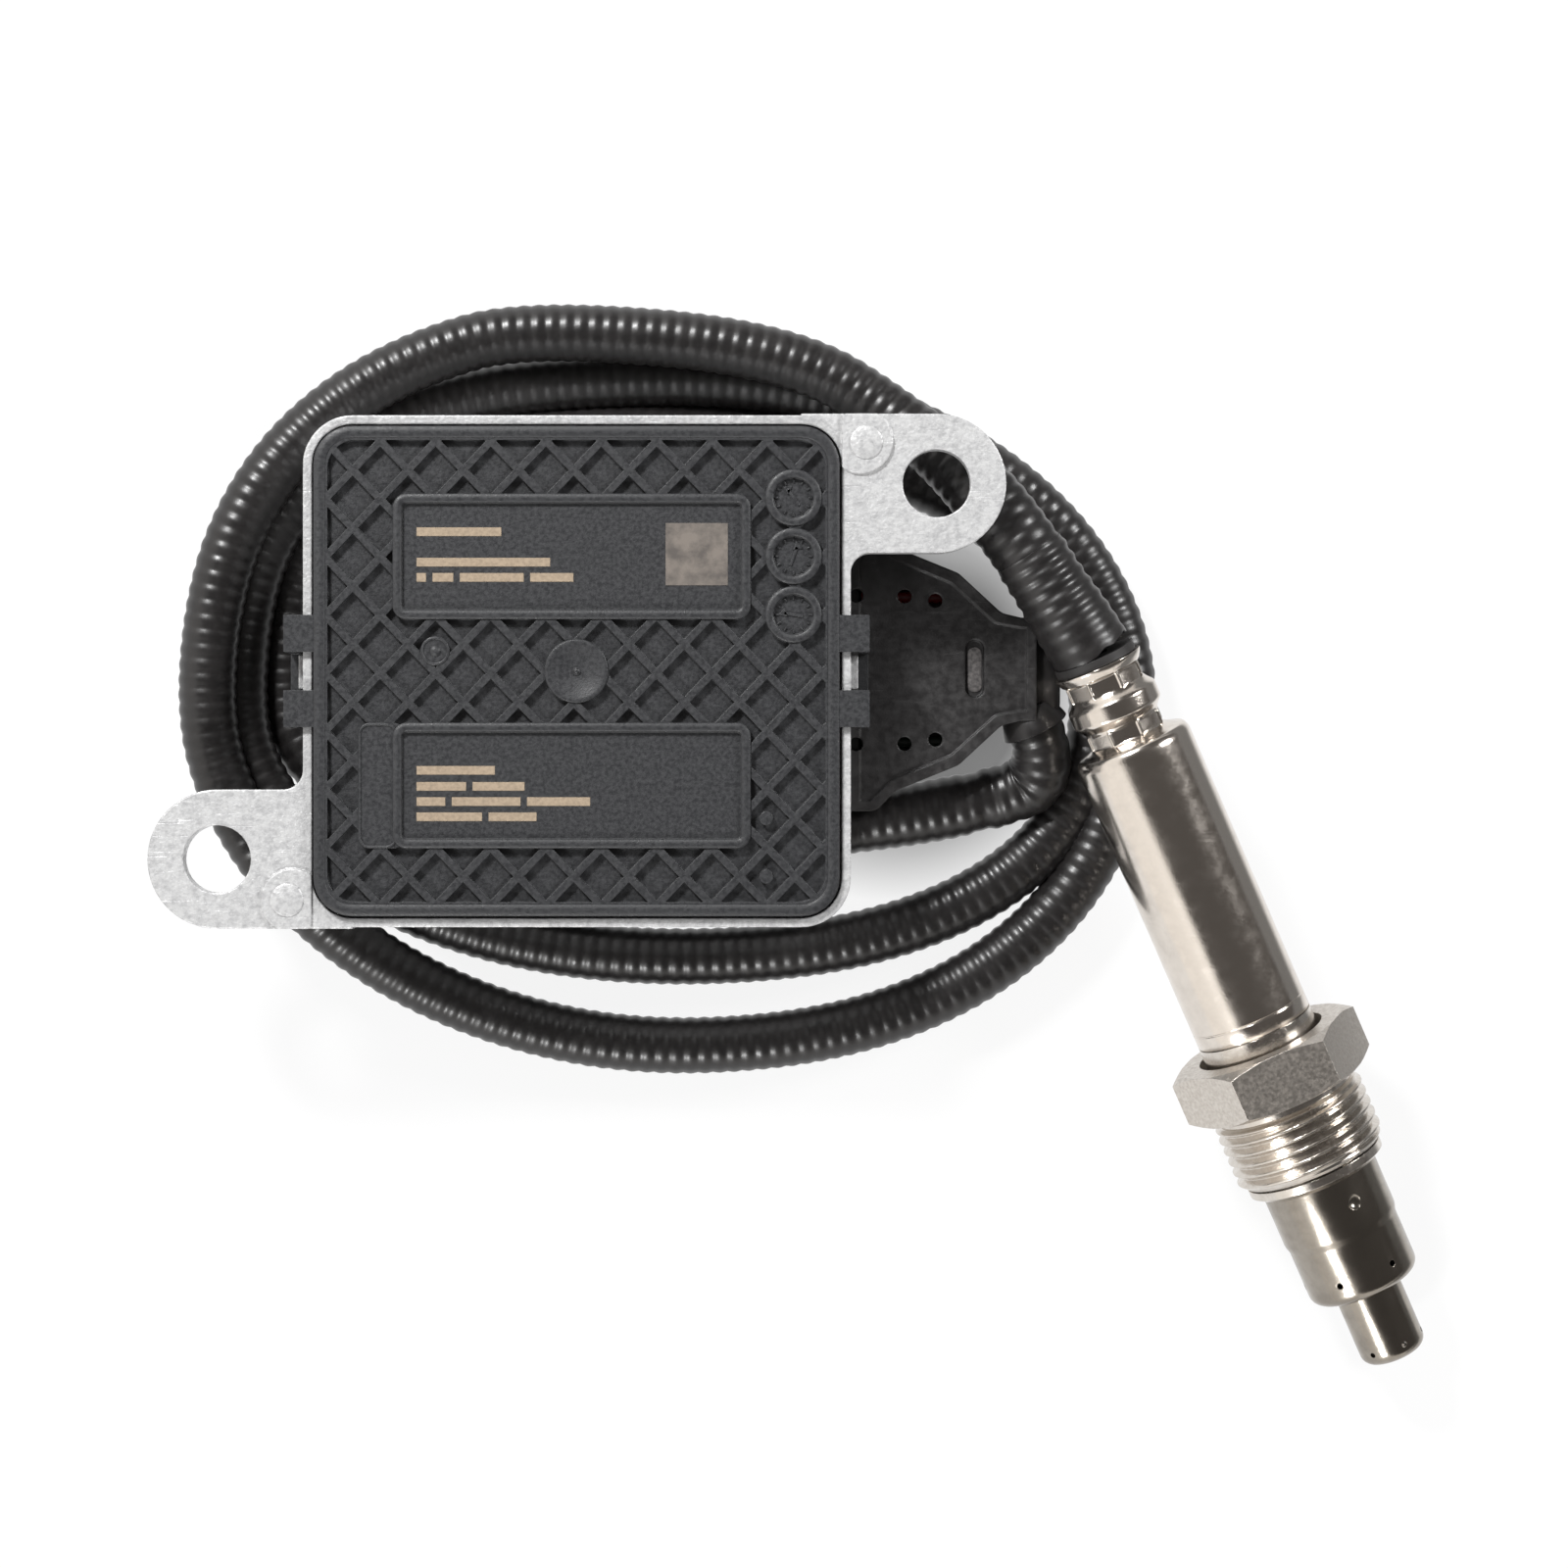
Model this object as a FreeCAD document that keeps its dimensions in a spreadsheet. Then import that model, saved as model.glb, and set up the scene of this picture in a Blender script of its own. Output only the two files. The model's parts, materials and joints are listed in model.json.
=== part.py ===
"""Nitrogen oxide sensor: a ribbed control module and a screw-in exhaust probe on one coiled conduit.

The origin is on the surface that the sensor lies on, under the middle of the module and probe.
+Z is up, +X runs from the module towards the probe, and +Y towards the module's far long side.
Module pieces are drawn about the middle of the tray's underside. Probe pieces are drawn about the
probe's own axis, with Z towards the tip and zero at the rear face of the nut's hexagon.
"""

import FreeCAD, Part
import math
import os
import re

import Sketcher

V = FreeCAD.Vector

doc = FreeCAD.newDocument("nitrogen_oxide_sensor")

# Driving dimensions, in millimetres and degrees
SIZES = {
    # Where the two halves of the sensor lie
    "module_x": -28.1,
    "module_y": 28.45,
    "module_lift": 7.8,
    "probe_x": 60.4,
    "probe_y": -21.85,
    "probe_heading": 24.0,
    "probe_tilt": 6.8,
    # Cast tray
    "tray_length": 68.5,
    "tray_width": 64.0,
    "tray_depth": 18.2,
    "tray_corner": 6.2,
    "tray_wall": 1.1,
    "tray_ledge": 1.5,
    "tray_floor": 2.2,
    "ear_reach": 10.75,
    "ear_inset": 8.5,
    "ear_radius": 8.7,
    "ear_thickness": 3.0,
    "ear_hole": 8.5,
    "ear_pad_radius": 4.0,
    "ear_pad_rise": 0.35,
    "ear_pad_out": 1.3,
    "ear_pad_along": 5.2,
    "ear_fillet": 2.5,
    "foot_rib_width": 2.4,
    "ear_web_height": 5.0,
    "catch_width": 4.2,
    "catch_reach": 1.0,
    "catch_height": 2.6,
    "pillar_radius": 2.2,
    "pillar_inset_x": 4.0,
    "pillar_inset_y": 4.5,
    # Ribbed cover
    "cover_gap": 0.3,
    "cover_rise": 0.9,
    "cover_thickness": 2.6,
    "cover_border": 1.75,
    "field_depth": 0.9,
    "rib_width": 0.95,
    "rib_pitch_x": 6.9,
    "rib_pitch_y": 7.25,
    "rib_phase_x": -0.33,
    "rib_phase_y": 3.34,
    "plate_length": 44.7,
    "plate_width": 15.7,
    "plate_frame": 1.2,
    "plate_recess": 0.35,
    "plate_offset": 14.3,
    "plate_corner": 1.7,
    "plate_shift": -0.6,
    "tag_width": 4.0,
    "dial_radius": 3.55,
    "dial_recess": 2.45,
    "dial_pitch": 7.3,
    "dial_offset_x": 27.1,
    "dial_offset_y": 14.35,
    "gate_radius": 4.0,
    "gate_inner": 3.3,
    "dimple_radius": 1.8,
    "dimple_x": -17.65,
    "dimple_y": 2.5,
    "ejector_radius": 0.86,
    "ejector_x": 23.7,
    "ejector_y": -18.4,
    "clip_width": 4.6,
    "clip_gap": 4.8,
    "clip_thickness": 1.3,
    "clip_clearance": 1.05,
    "clip_drop": 9.0,
    "clip_bar_height": 2.0,
    "clip_lift": 0.15,
    # Inside the module
    "gasket_height": 1.2,
    "board_thickness": 1.6,
    "board_gap": 0.4,
    "board_lift": 6.4,
    "chip_height": 1.5,
    "processor_width": 12.0,
    "processor_inset": 11.85,
    "processor_along": 6.0,
    "driver_length": 9.0,
    "driver_width": 7.0,
    "driver_inset": 21.25,
    "driver_along": 10.0,
    "transceiver_length": 5.0,
    "transceiver_width": 6.0,
    "transceiver_inset": 7.85,
    "transceiver_along": 14.0,
    "capacitor_diameter": 6.4,
    "capacitor_height": 5.5,
    "capacitor_inset": 5.85,
    "capacitor_edge": 9.0,
    # Vehicle connector in the side away from the hood
    "socket_width": 22.0,
    "socket_height": 9.6,
    "socket_depth": 14.0,
    "socket_wall": 1.3,
    "pin_pitch": 3.6,
    "pin_width": 1.2,
    "pin_lap": 3.0,
    # Cable hood
    "hood_width": 36.4,
    "hood_neck_width": 13.2,
    "hood_side": 3.4,
    "hood_shoulder": 14.0,
    "hood_waist": 19.5,
    "hood_reach": 24.0,
    "hood_half": 2.9,
    "hood_wall": 1.3,
    "hood_lift": 0.1,
    "hood_shift": 0.6,
    "hood_rim": 0.5,
    "peep_hole": 1.8,
    "slot_length": 7.4,
    "slot_width": 2.4,
    "slot_station": 16.1,
    "wire_diameter": 1.5,
    # Conduit and what it ends in
    "conduit_diameter": 7.4,
    "outlet_diameter": 4.4,
    "outlet_length": 5.2,
    "boot_length": 11.5,
    "boot_diameter": 9.4,
    "boot_gap": 1.2,
    "boot_play": 0.9,
    "boot_heading": 33.0,
    "boot_tilt": 4.0,
    # Drawn sleeve of the probe, by station behind the hexagon
    "sleeve_diameter": 15.3,
    "sleeve_wall": 0.8,
    "lip_station": 53.2,
    "lip_diameter": 11.6,
    "crimp_diameter": 10.0,
    "bead_diameter": 11.85,
    "crimp_one_start": 52.2,
    "crimp_one_end": 49.3,
    "bead_end": 45.5,
    "crimp_two_end": 42.9,
    "shoulder_station": 41.1,
    "sleeve_end": 2.1,
    # Loose union nut
    "hex_flats": 22.0,
    "hex_length": 7.0,
    "hex_chamfer": 1.0,
    "nut_clearance": 0.3,
    "counterbore_diameter": 16.9,
    "counterbore_depth": 1.8,
    "relief_diameter": 17.9,
    "relief_length": 1.6,
    "thread_diameter": 20.0,
    "thread_end": 17.0,
    "seat_diameter": 18.2,
    "seat_thickness": 1.7,
    "seat_nose": 0.35,
    # Protection caps
    "cap_wall": 0.6,
    "cap_first_diameter": 15.3,
    "cap_first_end": 26.3,
    "cap_step": 0.7,
    "cap_second_diameter": 14.7,
    "cap_second_end": 35.0,
    "snout_diameter": 8.7,
    "snout_end": 45.0,
    "cap_round": 1.5,
    "gas_hole": 0.85,
    "gas_hole_station": 32.0,
    "snout_hole": 0.7,
    # Ceramic inside the probe
    "element_width": 4.0,
    "element_thickness": 1.4,
    "bush_diameter": 11.0,
    "talc_length": 6.0,
    "bush_gap": 8.6,
    "body_back": 9.0,
    "carrier_bore": 5.2,
    "carrier_gap": 2.0,
    "carrier_length": 14.0,
    "spring_thickness": 0.5,
    "spring_width": 3.2,
    "spring_length": 13.0,
    "fit_gap": 0.05,
}

sheet = doc.addObject("Spreadsheet::Sheet", "sizes")
for row, (alias, number) in enumerate(SIZES.items(), 1):
    sheet.set(f"A{row}", alias)
    sheet.set(f"B{row}", str(number))
    sheet.setAlias(f"B{row}", alias)
doc.recompute()


def bound(text):
    """A formula on the sheet's names, written as the other objects read it."""
    return re.sub(r"\b([a-z]+_[a-z_]+)\b", r"sizes.\1", str(text))


def value(text):
    """The number that a formula gives now."""
    return float(sheet.evalExpression(bound(text)))


def bind(thing, **formulas):
    """Ties properties of an object to the sheet; a double underscore stands for a dot."""
    for name, text in formulas.items():
        thing.setExpression(name.replace("__", "."), bound(text))
    return thing


def move(thing, across="0", along="0", up="0"):
    """Ties the place of an object to the sheet."""
    return bind(thing, Placement__Base__x=across, Placement__Base__y=along, Placement__Base__z=up)


def block(name, length, width, height, across="0", along="0", up="0"):
    """A box centred across and along its place, standing on it."""
    box = doc.addObject("Part::Box", name)
    bind(box, Length=length, Width=width, Height=height)
    return move(box, f"{across} - ({length}) / 2", f"{along} - ({width}) / 2", up)


def rod(name, radius, height, across="0", along="0", up="0"):
    """An upright cylinder standing on its place."""
    return move(bind(doc.addObject("Part::Cylinder", name), Radius=radius, Height=height), across, along, up)


def fuse(name, shapes):
    """Several objects as one solid."""
    joined = doc.addObject("Part::MultiFuse", name)
    joined.Shapes = shapes
    joined.Refine = True
    return joined


def gather(name, shapes):
    """Several objects kept apart in one compound, as a cutting tool."""
    group = doc.addObject("Part::Compound", name)
    group.Links = shapes
    return group


def cut(name, base, tools):
    """One object less others."""
    less = doc.addObject("Part::Cut", name)
    less.Base = base
    less.Tool = tools[0] if len(tools) == 1 else gather(f"{name}_tools", tools)
    less.Refine = True
    return less


def common(name, base, tool):
    """What two objects share."""
    shared = doc.addObject("Part::Common", name)
    shared.Base = base
    shared.Tool = tool
    return shared


def outline(sketch, points):
    """A closed outline whose every corner is held at its two distances from the origin."""
    spots = [V(value(across), value(along), 0) for across, along in points]
    count = len(spots)
    for turn in range(count):
        sketch.addGeometry(Part.LineSegment(spots[turn], spots[(turn + 1) % count]))
    for turn in range(count):
        sketch.addConstraint(Sketcher.Constraint("Coincident", turn, 2, (turn + 1) % count, 1))
    for turn, (across, along) in enumerate(points):
        for kind, text, axis in (("DistanceX", across, -2), ("DistanceY", along, -1)):
            if abs(value(text)) < 1e-9:
                sketch.addConstraint(Sketcher.Constraint("PointOnObject", turn, 1, axis))
            else:
                held = Sketcher.Constraint(kind, -1, 1, turn, 1, value(text))
                sketch.setExpression(f"Constraints[{sketch.addConstraint(held)}]", bound(text))


def plane_of(body, role):
    """One of a body's own origin planes."""
    return next(plane for plane in body.Origin.OriginFeatures if plane.Role == role)


def drawn(body, name, role, points):
    """A sketch of an outline on one of a body's own planes."""
    sketch = body.newObject("Sketcher::SketchObject", name)
    sketch.AttachmentSupport = [(plane_of(body, role), "")]
    sketch.MapMode = "FlatFace"
    outline(sketch, points)
    return sketch


def edges_at(shape, test):
    """The names of the edges whose middle passes a test."""
    names = []
    for number, edge in enumerate(shape.Edges, 1):
        middle = edge.valueAt((edge.FirstParameter + edge.LastParameter) / 2)
        if test(edge, middle):
            names.append(f"Edge{number}")
    return names


# How much of a round's size its middle point lies inside the sharp corner
ROUND_SHARE = round(1 - math.cos(math.pi / 4), 4)


def soft_corner(radius, height, size):
    """Three points of a half section that stand for a round at a far, high corner."""
    return [
        (radius, f"{height} - {size}"),
        (f"{radius} - {size} * {ROUND_SHARE}", f"{height} - {size} * {ROUND_SHARE}"),
        (f"{radius} - {size}", height),
    ]


def turned(name, points):
    """A piece of revolution about Z from its half section, radius across and height up."""
    body = doc.addObject("PartDesign::Body", name)
    section = drawn(body, f"{name}_section", "XZ_Plane", points)
    revolved = body.newObject("PartDesign::Revolution", f"{name}_turned")
    revolved.Profile = section
    revolved.ReferenceAxis = (section, ["V_Axis"])
    revolved.Angle = 360
    return body


def padded(name, points, height, up="0"):
    """A flat outline on the XY plane raised to a height."""
    body = doc.addObject("PartDesign::Body", name)
    sketch = drawn(body, f"{name}_outline", "XY_Plane", points)
    raised = body.newObject("PartDesign::Pad", f"{name}_raised")
    raised.Profile = sketch
    bind(raised, Length=height)
    doc.recompute()
    move(body, up=up)
    return body


def upright(edge, middle):
    """Whether an edge runs along Z."""
    ends = [vertex.Point for vertex in edge.Vertexes]
    return len(ends) == 2 and (ends[0] - ends[1]).cross(V(0, 0, 1)).Length < 1e-6


def round_uprights(name, base, size, test=None):
    """Rounds the upright edges of an object that pass a test."""
    doc.recompute()
    rounded = doc.addObject("Part::Fillet", name)
    rounded.Base = base
    wanted = edges_at(
        base.Shape,
        lambda edge, middle: upright(edge, middle) and (test is None or test(middle)),
    )
    rounded.Edges = [(int(edge[4:]), value(size), value(size)) for edge in wanted]
    return rounded


def slab(name, length, width, height, corner, across="0", along="0", up="0"):
    """A box with rounded upright edges, centred on its place."""
    box = block(f"{name}_block", length, width, height, across, along, up)
    return round_uprights(name, box, corner)


nodes = []


def finish(thing, label, place):
    """Names a sub-part and puts it in its place."""
    if thing.TypeId in ("Part::Box", "Part::Cylinder"):
        thing.Label = f"{label} form"
        thing = gather(f"{thing.Name}_seated", [thing])
    thing.Label = label
    doc.recompute()
    thing.Placement = place.multiply(thing.Placement)
    nodes.append(thing)
    return thing


# Places of the two halves
MODULE = FreeCAD.Placement(V(value("module_x"), value("module_y"), value("module_lift")), FreeCAD.Rotation())


def aimed(heading, dip):
    """The direction that lies a heading from -Y towards +X and dips below the level."""
    turn, fall = math.radians(heading), math.radians(dip)
    return V(math.cos(fall) * math.sin(turn), -math.cos(fall) * math.cos(turn), -math.sin(fall))


tilt = math.radians(value("probe_tilt"))
AXIS = aimed(value("probe_heading"), value("probe_tilt"))
UPWARD = (V(0, 0, 1) - AXIS * AXIS.z).normalize()
# The nut stands on the surface along the front edge of its hexagon or of its thread
hex_height = max(
    value("hex_flats / 2") * math.cos(tilt) + value("hex_length / 2") * math.sin(tilt),
    value("thread_diameter / 2") * math.cos(tilt) + value("thread_end - hex_length / 2") * math.sin(tilt),
)
HEX_MIDDLE = V(value("probe_x"), value("probe_y"), hex_height)
PROBE = FreeCAD.Placement(
    HEX_MIDDLE - AXIS * value("hex_length / 2"),
    FreeCAD.Rotation(UPWARD, AXIS.cross(UPWARD), AXIS, "ZXY"),
)

RIM_INNER_LENGTH = "(tray_length - 2 * tray_wall)"
RIM_INNER_WIDTH = "(tray_width - 2 * tray_wall)"
SIDES = (-1, 1)
EAR_X = "(tray_length / 2 + ear_reach)"
EAR_Y = "(tray_width / 2 - ear_inset)"
# The board fills the tray beside the vehicle connector
BOARD_RIGHT = "(tray_length / 2 - tray_wall - tray_ledge - board_gap)"
BOARD_LEFT = "(-1 * tray_length / 2 + socket_depth + board_gap)"
BOARD_LENGTH = f"({BOARD_RIGHT} - {BOARD_LEFT})"
BOARD_MIDDLE = f"(({BOARD_RIGHT} + {BOARD_LEFT}) / 2)"


def housing_tray():
    """Cast tray with two ears, a ledge, four pillars, two clip catches and a connector opening."""
    outer = slab("tray_outer", "tray_length", "tray_width", "tray_depth", "tray_corner")
    pieces, tools = [outer], []
    for side in SIDES:
        across, along = f"{side} * {EAR_X}", f"{side} * {EAR_Y}"
        arm = block(
            f"ear_arm_{side + 1}",
            "ear_reach + tray_corner",
            "2 * ear_radius",
            "ear_thickness",
            f"{side} * (tray_length + ear_reach - tray_corner) / 2",
            along,
            "tray_depth - ear_thickness",
        )
        under = "tray_depth - ear_thickness"
        end = rod(f"ear_end_{side + 1}", "ear_radius", "ear_thickness", across, along, under)
        pad = rod(
            f"ear_pad_{side + 1}",
            "ear_pad_radius",
            "ear_thickness + ear_pad_rise",
            f"{side} * (tray_length / 2 + ear_pad_out)",
            f"{side} * ({EAR_Y} + ear_pad_along)",
            "tray_depth - ear_thickness",
        )
        pad_clip = block(
            f"ear_pad_clip_{side + 1}",
            "4 * ear_pad_radius",
            "2 * ear_radius",
            "tray_depth",
            f"{side} * (tray_length / 2 + 2 * ear_pad_radius - tray_wall)",
            along,
            "ear_pad_rise",
        )
        web = block(
            f"ear_web_{side + 1}",
            "ear_reach - ear_hole / 2 - 1",
            "foot_rib_width",
            "ear_web_height",
            f"{side} * (tray_length + ear_reach - ear_hole / 2 - 1) / 2",
            along,
            "tray_depth - ear_thickness - ear_web_height",
        )
        pieces += [arm, end, common(f"ear_boss_{side + 1}", pad, pad_clip), web]
        tools.append(rod(f"ear_bore_{side + 1}", "ear_hole / 2", "tray_depth", across, along, "tray_floor"))
    for side in SIDES:
        pieces.append(
            block(
                f"clip_catch_{side + 1}",
                "catch_reach * 2",
                "catch_width",
                "catch_height",
                f"{side} * tray_length / 2",
                "0",
                "tray_depth - clip_drop + clip_bar_height + 0.5",
            )
        )
    solid = fuse("tray_solid", pieces)
    tools.append(
        slab(
            "tray_room",
            f"{RIM_INNER_LENGTH} - 2 * tray_ledge",
            f"{RIM_INNER_WIDTH} - 2 * tray_ledge",
            "tray_depth",
            "tray_corner - tray_wall - tray_ledge",
            up="tray_floor",
        )
    )
    tools.append(
        slab(
            "tray_mouth",
            RIM_INNER_LENGTH,
            RIM_INNER_WIDTH,
            "tray_depth",
            "tray_corner - tray_wall",
            up="tray_depth - cover_thickness + cover_rise - gasket_height",
        )
    )
    tools.append(
        block(
            "socket_window",
            "4 * (tray_wall + tray_ledge)",
            "socket_width",
            "socket_height",
            "-1 * tray_length / 2",
            "0",
            "tray_floor",
        )
    )
    hollow = cut("tray_hollow", solid, tools)
    pillars = [
        rod(
            f"board_pillar_{left + 1}{near + 1}",
            "pillar_radius",
            "board_lift - tray_floor",
            f"{BOARD_MIDDLE} + {left} * ({BOARD_LENGTH} / 2 - pillar_inset_x)",
            f"{near} * (tray_width / 2 - tray_wall - tray_ledge - pillar_inset_y)",
            "tray_floor",
        )
        for left in SIDES
        for near in SIDES
    ]
    whole = fuse("housing_tray_raw", [hollow] + pillars)
    fillet_height = value("tray_depth - ear_thickness / 2")
    corner_x, corner_y = value("tray_length / 2"), value(f"{EAR_Y} - ear_radius")
    rounded = round_uprights(
        "housing_tray",
        whole,
        "ear_fillet",
        lambda middle: abs(middle.z - fillet_height) < 0.6
        and abs(abs(middle.x) - corner_x) < 0.01
        and abs(abs(middle.y) - corner_y) < 0.01,
    )
    return finish(rounded, "housing_tray", MODULE)


def rib_cells():
    """The diamond pockets between two families of slanting ribs, on a grid and its half steps."""
    across, along = value("rib_pitch_x / 2"), value("rib_pitch_y / 2")
    middle_to_side = across * along / math.hypot(across, along)
    share = (middle_to_side - value("rib_width / 2")) / middle_to_side
    columns = int(value("tray_length / rib_pitch_x")) + 2
    rows = int(value("tray_width / rib_pitch_y")) + 2
    corners = [V(across * share, 0, 0), V(0, along * share, 0), V(-across * share, 0, 0)]
    corners.append(V(0, -along * share, 0))
    diamond = Part.Face(Part.makePolygon(corners + corners[:1])).extrude(V(0, 0, value("2 * field_depth")))
    cells = []
    for column in range(-columns, columns + 1):
        for row in range(-rows, rows + 1):
            if (column + row) % 2:
                cell = diamond.copy()
                spot = V(value("rib_phase_x") + column * across, value("rib_phase_y") + row * along, 0)
                cell.translate(spot)
                cells.append(cell)
    lattice = doc.addObject("Part::Feature", "rib_cells")
    lattice.Shape = Part.makeCompound(cells)
    return move(lattice, up=FIELD_FLOOR)


COVER_TOP = "(tray_depth + cover_rise)"
FIELD_FLOOR = f"({COVER_TOP} - field_depth)"


def housing_cover():
    """Moulded cover: border, diamond ribs, two framed plates, three dials, gate dish and four clip legs."""
    length = f"({RIM_INNER_LENGTH} - 2 * cover_gap)"
    width = f"({RIM_INNER_WIDTH} - 2 * cover_gap)"
    under = f"({COVER_TOP} - cover_thickness)"
    corner = "tray_corner - tray_wall - cover_gap"
    plate = slab("cover_plate", length, width, "cover_thickness", corner, up=under)
    field = slab(
        "cover_field",
        f"{length} - 2 * cover_border",
        f"{width} - 2 * cover_border",
        "2 * field_depth",
        "tray_corner - tray_wall - cover_gap - cover_border + 0.5",
        up=f"{FIELD_FLOOR} - field_depth / 2",
    )
    clear, sunk = [], []
    for side in SIDES:
        along = f"{side} * plate_offset"
        clear.append(
            slab(
                f"plate_{side + 1}",
                "plate_length",
                "plate_width",
                "2 * field_depth",
                "plate_corner",
                "plate_shift",
                along,
                FIELD_FLOOR,
            )
        )
        sunk.append(
            slab(
                f"plate_field_{side + 1}",
                "plate_length - 2 * plate_frame",
                "plate_width - 2 * plate_frame",
                "field_depth",
                "plate_corner / 3",
                "plate_shift",
                along,
                f"{COVER_TOP} - plate_recess",
            )
        )
    tag_x = "(plate_shift - plate_length / 2 - tag_width / 2 + plate_corner / 2)"
    clear.append(
        slab(
            "tag_panel",
            "tag_width + plate_corner",
            "plate_width",
            "2 * field_depth",
            "plate_corner",
            tag_x,
            "-1 * plate_offset",
            FIELD_FLOOR,
        )
    )
    for number in range(3):
        along = f"dial_offset_y + {1 - number} * dial_pitch"
        clear.append(rod(f"dial_{number}", "dial_radius", "2 * field_depth", "dial_offset_x", along, FIELD_FLOOR))
        low = f"{FIELD_FLOOR} + field_depth / 2"
        sunk.append(rod(f"dial_sunk_{number}", "dial_recess", "field_depth", "dial_offset_x", along, low))
    clear.append(rod("gate_boss", "gate_radius", "2 * field_depth", up=FIELD_FLOOR))
    sunk.append(rod("gate_sunk", "gate_inner", "field_depth", up=f"{FIELD_FLOOR} + 0.2"))
    clear.append(rod("dimple_boss", "dimple_radius", "2 * field_depth", "dimple_x", "dimple_y", FIELD_FLOOR))
    for number in range(2):
        along = f"ejector_y - {number} * rib_pitch_y"
        clear.append(
            rod(f"ejector_mark_{number}", "ejector_radius", "2 * field_depth", "ejector_x", along, FIELD_FLOOR)
        )
    region = cut("rib_region", field, clear)
    sunk.append(common("rib_pockets", region, rib_cells()))
    pieces = [cut("cover_ribbed", plate, sunk), rod("gate_stub", "0.5", "0.7", up=FIELD_FLOOR)]
    leg_x = f"(tray_length / 2 + clip_clearance + clip_thickness / 2)"
    for side in SIDES:
        for near in SIDES:
            along = f"{near} * (clip_gap + clip_width) / 2"
            reach = f"(tray_length / 2 + clip_clearance + clip_thickness - {length} / 2 + cover_border)"
            pieces.append(
                block(
                    f"clip_bridge_{side + 1}{near + 1}",
                    reach,
                    "clip_width",
                    "cover_rise - clip_lift",
                    f"{side} * ({length} / 2 - cover_border + {reach} / 2)",
                    along,
                    "tray_depth + clip_lift",
                )
            )
            pieces.append(
                block(
                    f"clip_leg_{side + 1}{near + 1}",
                    "clip_thickness",
                    "clip_width",
                    f"clip_drop + {COVER_TOP} - tray_depth",
                    f"{side} * {leg_x}",
                    along,
                    "tray_depth - clip_drop",
                )
            )
        pieces.append(
            block(
                f"clip_bar_{side + 1}",
                "clip_thickness",
                "clip_gap + 2 * clip_width",
                "clip_bar_height",
                f"{side} * {leg_x}",
                "0",
                "tray_depth - clip_drop",
            )
        )
    return finish(fuse("housing_cover", pieces), "housing_cover", MODULE)


LEDGE_TOP = "(tray_depth - cover_thickness + cover_rise - gasket_height)"


def cover_gasket():
    """Flat sealing ring on the tray's ledge, under the cover's edge."""
    outer = slab(
        "gasket_outer",
        f"{RIM_INNER_LENGTH} - 0.4",
        f"{RIM_INNER_WIDTH} - 0.4",
        "gasket_height - fit_gap",
        "tray_corner - tray_wall - 0.2",
        up=LEDGE_TOP,
    )
    inner = slab(
        "gasket_inner",
        f"{RIM_INNER_LENGTH} - 2 * tray_ledge + 0.2",
        f"{RIM_INNER_WIDTH} - 2 * tray_ledge + 0.2",
        "3 * gasket_height",
        "tray_corner - tray_wall - tray_ledge",
        up=f"{LEDGE_TOP} - gasket_height",
    )
    return finish(cut("cover_gasket", outer, [inner]), "cover_gasket", MODULE)


def electronics():
    """Circuit board on the tray's pillars, with its chips and two capacitors."""
    board = slab(
        "circuit_board",
        BOARD_LENGTH,
        f"{RIM_INNER_WIDTH} - 2 * tray_ledge - 2 * board_gap",
        "board_thickness",
        "tray_corner - tray_wall - tray_ledge",
        BOARD_MIDDLE,
        up="board_lift",
    )
    finish(board, "circuit_board", MODULE)
    top = "(board_lift + board_thickness)"
    chips = (
        (
            "signal_processor",
            "processor_width",
            "processor_width",
            f"{BOARD_LEFT} + processor_inset",
            "processor_along",
        ),
        ("heater_driver", "driver_length", "driver_width", f"{BOARD_RIGHT} - driver_inset", "-1 * driver_along"),
        (
            "bus_transceiver",
            "transceiver_length",
            "transceiver_width",
            f"{BOARD_LEFT} + transceiver_inset",
            "-1 * transceiver_along",
        ),
    )
    for label, length, width, across, along in chips:
        finish(block(label, length, width, "chip_height", across, along, top), label, MODULE)
    capacitor = rod(
        "storage_capacitor",
        "capacitor_diameter / 2",
        "capacitor_height",
        f"{BOARD_LEFT} + capacitor_inset",
        "tray_width / 2 - tray_wall - tray_ledge - capacitor_edge",
        top,
    )
    finish(capacitor, "storage_capacitor", MODULE)


def vehicle_connector():
    """Socket sunk into the tray's side away from the hood, with five flat pins that reach over the board."""
    face, back = "(-1 * tray_length / 2)", "(-1 * tray_length / 2 + socket_depth)"
    height, width = "(socket_height - 2 * fit_gap)", "(socket_width - 2 * fit_gap)"
    middle, low = f"({face} + {back}) / 2", "tray_floor + fit_gap"
    shell = block("socket_shell", "socket_depth", width, height, middle, "0", low)
    hollow = block(
        "socket_hollow",
        "socket_depth - socket_wall",
        f"{width} - 2 * socket_wall",
        f"{height} - 2 * socket_wall",
        f"{face} + (socket_depth - socket_wall) / 2",
        "0",
        "tray_floor + fit_gap + socket_wall",
    )
    pin_low = "(board_lift + board_thickness + 0.1)"
    slots = []
    for number in range(5):
        along = f"{number - 2} * pin_pitch"
        slots.append(
            block(f"pin_slot_{number}", "2 * pin_lap", "pin_width", "pin_width / 2", back, along, pin_low)
        )
    finish(cut("vehicle_connector", shell, [hollow] + slots), "vehicle_connector", MODULE)
    for number in range(5):
        pin = block(
            f"vehicle_pin_{number + 1}_bar",
            "socket_depth",
            "pin_width - 2 * fit_gap",
            "pin_width / 2 - 2 * fit_gap",
            f"{back} + pin_lap - socket_depth / 2",
            f"{number - 2} * pin_pitch",
            f"{pin_low} + fit_gap",
        )
        finish(pin, f"vehicle_pin_{number + 1}", MODULE)


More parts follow.
